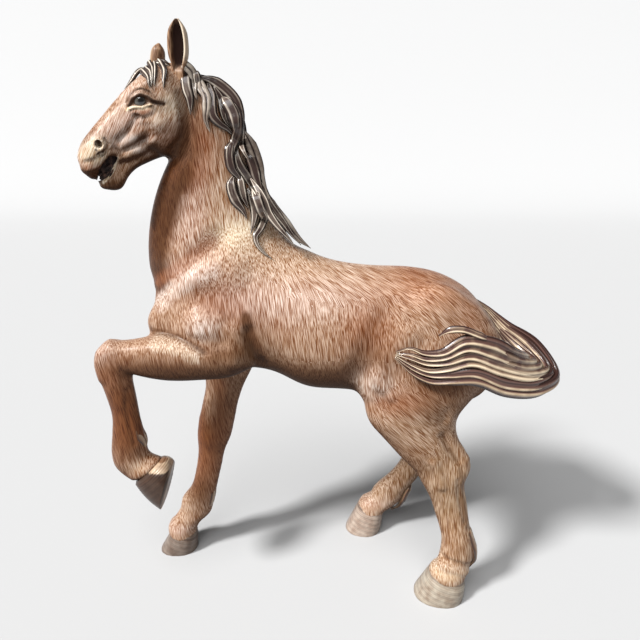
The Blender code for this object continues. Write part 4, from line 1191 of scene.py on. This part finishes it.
# noise drawn out into long fine strokes, for coat, hair and ears
def makeStrokeGroup():
    group, given, made = newGroup("combed strokes", {
        "Position": "NodeSocketVector", "Turn": "NodeSocketFloat",
        "Across": "NodeSocketFloat", "Along": "NodeSocketFloat",
    }, "Strokes")
    nodes, links = group.nodes, group.links
    turn, size = addNode(nodes, "ShaderNodeCombineXYZ"), addNode(nodes, "ShaderNodeCombineXYZ")
    deep = addNode(nodes, "ShaderNodeMath", operation="MULTIPLY")
    deep.inputs[1].default_value = 4.0
    mapping = addNode(nodes, "ShaderNodeMapping", vector_type="TEXTURE")
    noise = addNode(nodes, "ShaderNodeTexNoise", Scale=1.0, Detail=1.0, Roughness=0.6)
    links.new(given.outputs["Turn"], turn.inputs["Y"])
    links.new(given.outputs["Across"], size.inputs["X"])
    links.new(given.outputs["Across"], deep.inputs[0])
    links.new(deep.outputs[0], size.inputs["Y"])
    links.new(given.outputs["Along"], size.inputs["Z"])
    links.new(given.outputs["Position"], mapping.inputs["Vector"])
    links.new(turn.outputs[0], mapping.inputs["Rotation"])
    links.new(size.outputs[0], mapping.inputs["Scale"])
    links.new(mapping.outputs["Vector"], noise.inputs["Vector"])
    links.new(noise.outputs["Fac"], made.inputs["Strokes"])
    return group


# cloudy patches, as a thin glaze gathers on hooves and in the mouth, and as patchy painted highlight on the
# hair; Low and High are where a patch starts and is full
def makeMottleGroup():
    group, given, made = newGroup("mottled glaze and sheen", {
        "Position": "NodeSocketVector", "Scale": "NodeSocketFloat", "Detail": "NodeSocketFloat",
        "Low": "NodeSocketFloat", "High": "NodeSocketFloat",
    }, "Share")
    nodes, links = group.nodes, group.links
    noise, ramp = addNode(nodes, "ShaderNodeTexNoise"), addNode(nodes, "ShaderNodeMapRange", clamp=False)
    for label, socket in (("Position", "Vector"), ("Scale", "Scale"), ("Detail", "Detail")):
        links.new(given.outputs[label], noise.inputs[socket])
    links.new(noise.outputs["Fac"], ramp.inputs["Value"])
    links.new(given.outputs["Low"], ramp.inputs["From Min"])
    links.new(given.outputs["High"], ramp.inputs["From Max"])
    links.new(ramp.outputs["Result"], made.inputs["Share"])
    return group


def strokes(nodes, links, position, turn, across, along):
    group = addNode(nodes, "ShaderNodeGroup", node_tree=strokeGroup)
    setShader(group, {"Turn": math.radians(turn), "Across": across * mm, "Along": along * mm})
    links.new(position, group.inputs["Position"])
    return group.outputs["Strokes"]


def mottle(nodes, links, scale, detail, low, high):
    group = addNode(nodes, "ShaderNodeGroup", node_tree=mottleGroup)
    setShader(group, {"Scale": scale, "Detail": detail, "Low": low, "High": high})
    links.new(addNode(nodes, "ShaderNodeTexCoord").outputs["Object"], group.inputs["Position"])
    return group.outputs["Share"]


mixSockets = {"FLOAT": (2, 3, 0), "VECTOR": (4, 5, 1), "RGBA": (6, 7, 2)}  # A, B and Result of a Mix node


def blend(nodes, links, kind, factor, a, b, mode="MIX"):
    mix = addNode(nodes, "ShaderNodeMix", data_type=kind, blend_type=mode)
    first, second, result = mixSockets[kind]
    for value, socket in ((factor, 0), (a, first), (b, second)):
        if hasattr(value, "is_linked"):
            links.new(value, mix.inputs[socket])
        else:
            mix.inputs[socket].default_value = value
    return mix.outputs[result]


def blendColours(nodes, links, factor, a, b, mode="MIX"):
    return blend(nodes, links, "RGBA", factor, a, b, mode)


# 1 where the value is above start plus half the cloud, which makes a ragged edge
def isAbove(nodes, links, value, cloud, start):
    edge = addNode(nodes, "ShaderNodeMath", operation="MULTIPLY_ADD")
    links.new(cloud, edge.inputs[0])
    edge.inputs[1].default_value = 0.5
    edge.inputs[2].default_value = start
    step = addNode(nodes, "ShaderNodeMath", operation="GREATER_THAN")
    links.new(value, step.inputs[0])
    links.new(edge.outputs[0], step.inputs[1])
    return step.outputs[0]


def spread(nodes, links, source, low, high, bottom=0.0, top=1.0):
    ramp = addNode(nodes, "ShaderNodeMapRange")
    links.new(source, ramp.inputs["Value"])
    setShader(ramp, {"From Min": low, "From Max": high, "To Min": bottom, "To Max": top})
    return ramp.outputs["Result"]


def readAttribute(nodes, name, output="Fac"):
    return addNode(nodes, "ShaderNodeAttribute", attribute_name=name).outputs[output]


def raiseStrokes(nodes, links, shader, height, strength):
    bump = addNode(nodes, "ShaderNodeBump", Strength=strength, Distance=0.5 * mm)
    links.new(height, bump.inputs["Height"])
    links.new(bump.outputs["Normal"], shader.inputs["Normal"])


coatLook = {
    "shader": {
        "Specular IOR Level": 0.22, "Specular Tint": (1.0, 0.78, 0.6, 1), "Coat Weight": 0.09,
        "Coat Roughness": 0.26,
    },
    "roughness": (0.42, 0.9),  # above, and on the undersides
    "strokeSize": (0.5, 15),  # across and along
    "turn": -7,  # degrees the strokes slope, then what takes over where they slope more
    "slants": [(-26, 0.08), (-46, 0.41)],
    "dark": ((0.5, 0.33), (0.46, 0.26, 0.15, 1)),  # where in the noise a stroke darkens, and its tint
    "light": ((0.46, 0.65), (1.45, 1.6, 1.82, 1)),
    "frost": (0.42, (0.77, 0.68, 0.60, 1)),  # how far pale strokes go to this colour
    "relief": 0.6,
}


def coatGlaze(look):
    material, nodes, links, shader = newMaterial("combed brown glaze")
    setShader(shader, look["shader"])
    glaze = readAttribute(nodes, "glaze", "Color")
    position = addNode(nodes, "ShaderNodeTexCoord").outputs["Object"]
    ragged = addNode(nodes, "ShaderNodeTexNoise", Scale=180.0, Detail=1.0)
    links.new(position, ragged.inputs["Vector"])
    cloud = ragged.outputs["Fac"]

    # strokes follow the head, the back, and the side view elsewhere
    combed = position
    for where, name in (("onHead", "combed"), ("onBack", "rolled")):
        chosen = isAbove(nodes, links, readAttribute(nodes, where), cloud, 0.25)
        combed = blend(nodes, links, "VECTOR", chosen, combed, readAttribute(nodes, name, "Vector"))
    slant = readAttribute(nodes, "slant")
    lines = strokes(nodes, links, combed, look["turn"], *look["strokeSize"])
    for turn, start in look["slants"]:
        steeper = strokes(nodes, links, combed, turn, *look["strokeSize"])
        lines = blend(nodes, links, "FLOAT", isAbove(nodes, links, slant, cloud, start), lines, steeper)

    (darkRange, darkTint), (lightRange, lightTint) = look["dark"], look["light"]
    dark = blendColours(nodes, links, 1.0, glaze, darkTint, "MULTIPLY")
    bright = blendColours(nodes, links, 1.0, glaze, lightTint, "MULTIPLY")
    share, pale = look["frost"]
    frost = spread(nodes, links, readAttribute(nodes, "glaze", "Alpha"), 0.0, 1.0, 0.0, share)
    light = blendColours(nodes, links, frost, bright, pale)
    stroked = blendColours(nodes, links, spread(nodes, links, lines, *darkRange), glaze, dark)
    stroked = blendColours(nodes, links, spread(nodes, links, lines, *lightRange), stroked, light)
    tone = blendColours(nodes, links, readAttribute(nodes, "smooth"), stroked, glaze)
    links.new(tone, shader.inputs["Base Color"])
    dull = spread(nodes, links, readAttribute(nodes, "under"), 0.0, 1.0, *look["roughness"])
    links.new(dull, shader.inputs["Roughness"])
    raiseStrokes(nodes, links, shader, lines, look["relief"])
    return material


hairLooks = {  # colours from the bottom of a groove to the crest, where the pale crest colour is a painted highlight; rise is where the crest starts
    "dark mane glaze with painted highlights": {
        "groove": (0.010, 0.006, 0.005, 1), "valley": (0.045, 0.027, 0.023, 1),
        "crestDark": (0.19, 0.145, 0.115, 1), "crestHighlight": (0.68, 0.60, 0.50, 1), "rise": (0.42, 0.8),
    },
    "tail glaze with painted highlights": {
        "groove": (0.030, 0.013, 0.010, 1), "valley": (0.115, 0.06, 0.048, 1),
        "crestDark": (0.36, 0.26, 0.17, 1), "crestHighlight": (0.68, 0.55, 0.39, 1), "rise": (0.38, 0.72),
    },
    "fetlock hair glaze": {
        "groove": (0.04, 0.018, 0.01, 1), "valley": (0.15, 0.075, 0.04, 1),
        "crestDark": (0.24, 0.15, 0.09, 1), "crestHighlight": (0.46, 0.36, 0.26, 1), "rise": (0.5, 1.0),
    },
}
hairFinish = {
    "shader": {"Roughness": 0.26, "Specular IOR Level": 0.35, "Coat Weight": 0.2, "Coat Roughness": 0.1},
    "cloud": (70.0, 2.0, 0.5, 0.9167),  # scale, detail, where its patches start and are full
    "strokes": (-20, 0.9, 14), "relief": 0.25,  # slope, across, along
}


def hairGlaze(name, look):
    material, nodes, links, shader = newMaterial(name)
    setShader(shader, hairFinish["shader"])
    # share of painted highlight: each lock's sheen plus cloudy patches; where it is strong the valley is
    # painted lighter too
    highlight = addNode(nodes, "ShaderNodeMath", operation="ADD", use_clamp=True)
    links.new(readAttribute(nodes, "sheen"), highlight.inputs[0])
    links.new(mottle(nodes, links, *hairFinish["cloud"]), highlight.inputs[1])
    highlight = highlight.outputs[0]
    crest = readAttribute(nodes, "crest")
    top = blendColours(nodes, links, highlight, look["crestDark"], look["crestHighlight"])
    lit = spread(nodes, links, highlight, 0.7, 1.0, 0.0, 0.5)
    lit = blendColours(nodes, links, lit, look["valley"], look["crestDark"])
    low = blendColours(nodes, links, spread(nodes, links, crest, 0.05, 0.35), look["groove"], lit)
    colour = blendColours(nodes, links, spread(nodes, links, crest, *look["rise"]), low, top)
    links.new(colour, shader.inputs["Base Color"])
    position = addNode(nodes, "ShaderNodeTexCoord").outputs["Object"]
    lines = strokes(nodes, links, position, *hairFinish["strokes"])
    raiseStrokes(nodes, links, shader, lines, hairFinish["relief"])
    return material


hoofLook = {
    "shader": {"Roughness": 0.34, "Specular IOR Level": 0.25, "Coat Weight": 0.12, "Coat Roughness": 0.1},
    "stain": (0.62, 0.54, 0.5, 1), "cloud": (120.0, 4.0, 0.35, 0.7),
}


def hoofGlaze(look):
    material, nodes, links, shader = newMaterial("ringed hoof glaze")
    setShader(shader, look["shader"])
    glaze = readAttribute(nodes, "glaze", "Color")
    stained = blendColours(nodes, links, 1.0, glaze, look["stain"], "MULTIPLY")
    share = mottle(nodes, links, *look["cloud"])
    links.new(blendColours(nodes, links, share, glaze, stained), shader.inputs["Base Color"])
    return material


earLook = {
    "shader": {"Specular IOR Level": 0.25}, "roughness": (0.45, 0.85),  # outside, and in the hollow
    "strokes": (0, 1.1, 8), "skin": ((0.12, 0.055, 0.028, 1), (0.32, 0.19, 0.11, 1)),
    "rim": (0.82, 0.72, 0.56, 1), "hollow": (0.030, 0.012, 0.008, 1),
}


def earGlaze(look):
    material, nodes, links, shader = newMaterial("ear glaze")
    setShader(shader, look["shader"])
    position = addNode(nodes, "ShaderNodeTexCoord").outputs["Object"]
    lines = spread(nodes, links, strokes(nodes, links, position, *look["strokes"]), 0.36, 0.64)
    skin = blendColours(nodes, links, lines, *look["skin"])
    rimmed = blendColours(nodes, links, readAttribute(nodes, "rim"), skin, look["rim"])
    dark = readAttribute(nodes, "dark")
    links.new(blendColours(nodes, links, dark, rimmed, look["hollow"]), shader.inputs["Base Color"])
    links.new(spread(nodes, links, dark, 0.0, 1.0, *look["roughness"]), shader.inputs["Roughness"])
    return material


eyeLook = {
    "shader": {"Roughness": 0.08, "Coat Weight": 1.0, "Coat Roughness": 0.03},
    "iris": (0.075, 0.068, 0.058, 1), "pupil": (0.008, 0.006, 0.005, 1),
}


def eyeGlaze(look):
    material, nodes, links, shader = newMaterial("glossy eye")
    setShader(shader, look["shader"])
    colour = blendColours(nodes, links, readAttribute(nodes, "iris"), look["iris"], look["pupil"])
    links.new(colour, shader.inputs["Base Color"])
    return material


mouthLook = {
    "shader": {"Roughness": 0.45, "Specular IOR Level": 0.25},
    "colours": ((0.02, 0.011, 0.009, 1), (0.14, 0.075, 0.055, 1)), "cloud": (260.0, 2.0, 0.5, 0.75),
}


def mouthGlaze(look):
    material, nodes, links, shader = newMaterial("dark mouth glaze")
    setShader(shader, look["shader"])
    share = mottle(nodes, links, *look["cloud"])
    links.new(blendColours(nodes, links, share, *look["colours"]), shader.inputs["Base Color"])
    return material


print("finishes")
paintCoat(body)
strokeGroup, mottleGroup = makeStrokeGroup(), makeMottleGroup()
maneFinish, tailFinish, tuftFinish = [hairGlaze(name, look) for name, look in hairLooks.items()]
finishPiece(body, coatGlaze(coatLook))
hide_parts("horse")
for piece, material in (
    (mane, maneFinish), (forelock, maneFinish), (tail, tailFinish), (tufts, tuftFinish),
    (hooves, hoofGlaze(hoofLook)), (ears, earGlaze(earLook)), (eyes, eyeGlaze(eyeLook)),
    (mouthParts, mouthGlaze(mouthLook)),
):
    finishPiece(piece, material)

stageForm = {  # this part in metres
    "floor": (14.0, 5.0), "forward": 0.3, "colour": (0.42, 0.42, 0.42, 1),
    "sweep": [(0, 0.9, 0), (0, 1.0, 0.5), (0, 2.6, 2.6)],  # steps that carry its far edge up as a backdrop
    "lights": [  # name, direction it comes from, width in degrees, strength
        ("keyLight", (-1.38, -0.82, 1.53), 10, 5.6),
        ("softLight", (-0.3, -0.95, 1.6), 40, 2.3),
    ],
    "world": ((0.95, 0.97, 1, 1), 0.12),
    "camera": {"away": -0.4823, "height": 0.456, "tilt": 72, "lens": 28.125},
}


def makeFloor():
    bpy.ops.mesh.primitive_plane_add(size=1.0)
    floor = bpy.context.object
    floor.name = "floor"
    floor.data.transform(Matrix.Diagonal((*stageForm["floor"], 1, 1)))
    floor.data.transform(Matrix.Translation((0, stageForm["forward"], 0)))
    pick(floor)
    bpy.ops.object.mode_set(mode="EDIT")
    bpy.ops.mesh.select_all(action="DESELECT")
    mesh = bmesh.from_edit_mesh(floor.data)
    nearlyFar = stageForm["forward"] + stageForm["floor"][1] / 2 - 0.1
    for edge in mesh.edges:
        edge.select = all(v.co.y > nearlyFar for v in edge.verts)
    bmesh.update_edit_mesh(floor.data)
    for step in stageForm["sweep"]:
        bpy.ops.mesh.extrude_region_move(TRANSFORM_OT_translate={"value": step})
    bpy.ops.object.mode_set(mode="OBJECT")
    sweep = floor.modifiers.new("sweep", "SUBSURF")
    sweep.levels = sweep.render_levels = 4
    sweep.boundary_smooth = "PRESERVE_CORNERS"
    applyAll(floor)
    floor.data.shade_smooth()
    material, nodes, links, shader = newMaterial("pale matte floor")
    setShader(shader, {"Roughness": 0.9, "Base Color": stageForm["colour"]})
    floor.data.materials.append(material)


def makeLights():
    for name, place, width, strength in stageForm["lights"]:
        bpy.ops.object.light_add(type="SUN", location=place)
        lamp = bpy.context.object
        lamp.name = name
        lamp.data.angle = math.radians(width)
        lamp.data.energy = strength
        lamp.rotation_euler = Vector(place).to_track_quat("Z", "Y").to_euler()
    world = bpy.data.worlds.new("studio")
    bpy.context.scene.world = world
    world.use_nodes = True
    colour, strength = stageForm["world"]
    world.node_tree.nodes["Background"].inputs["Color"].default_value = colour
    world.node_tree.nodes["Background"].inputs["Strength"].default_value = strength
    bpy.context.scene.view_settings.view_transform = "Standard"


def makeCamera():
    form = stageForm["camera"]
    place = (-footMiddle[0] * mm, form["away"], form["height"])
    bpy.ops.object.camera_add(location=place, rotation=(math.radians(form["tilt"]), 0, 0))
    camera = bpy.context.object
    camera.data.lens = form["lens"]
    bpy.context.scene.camera = camera


print("stage")
makeFloor()
makeLights()
makeCamera()
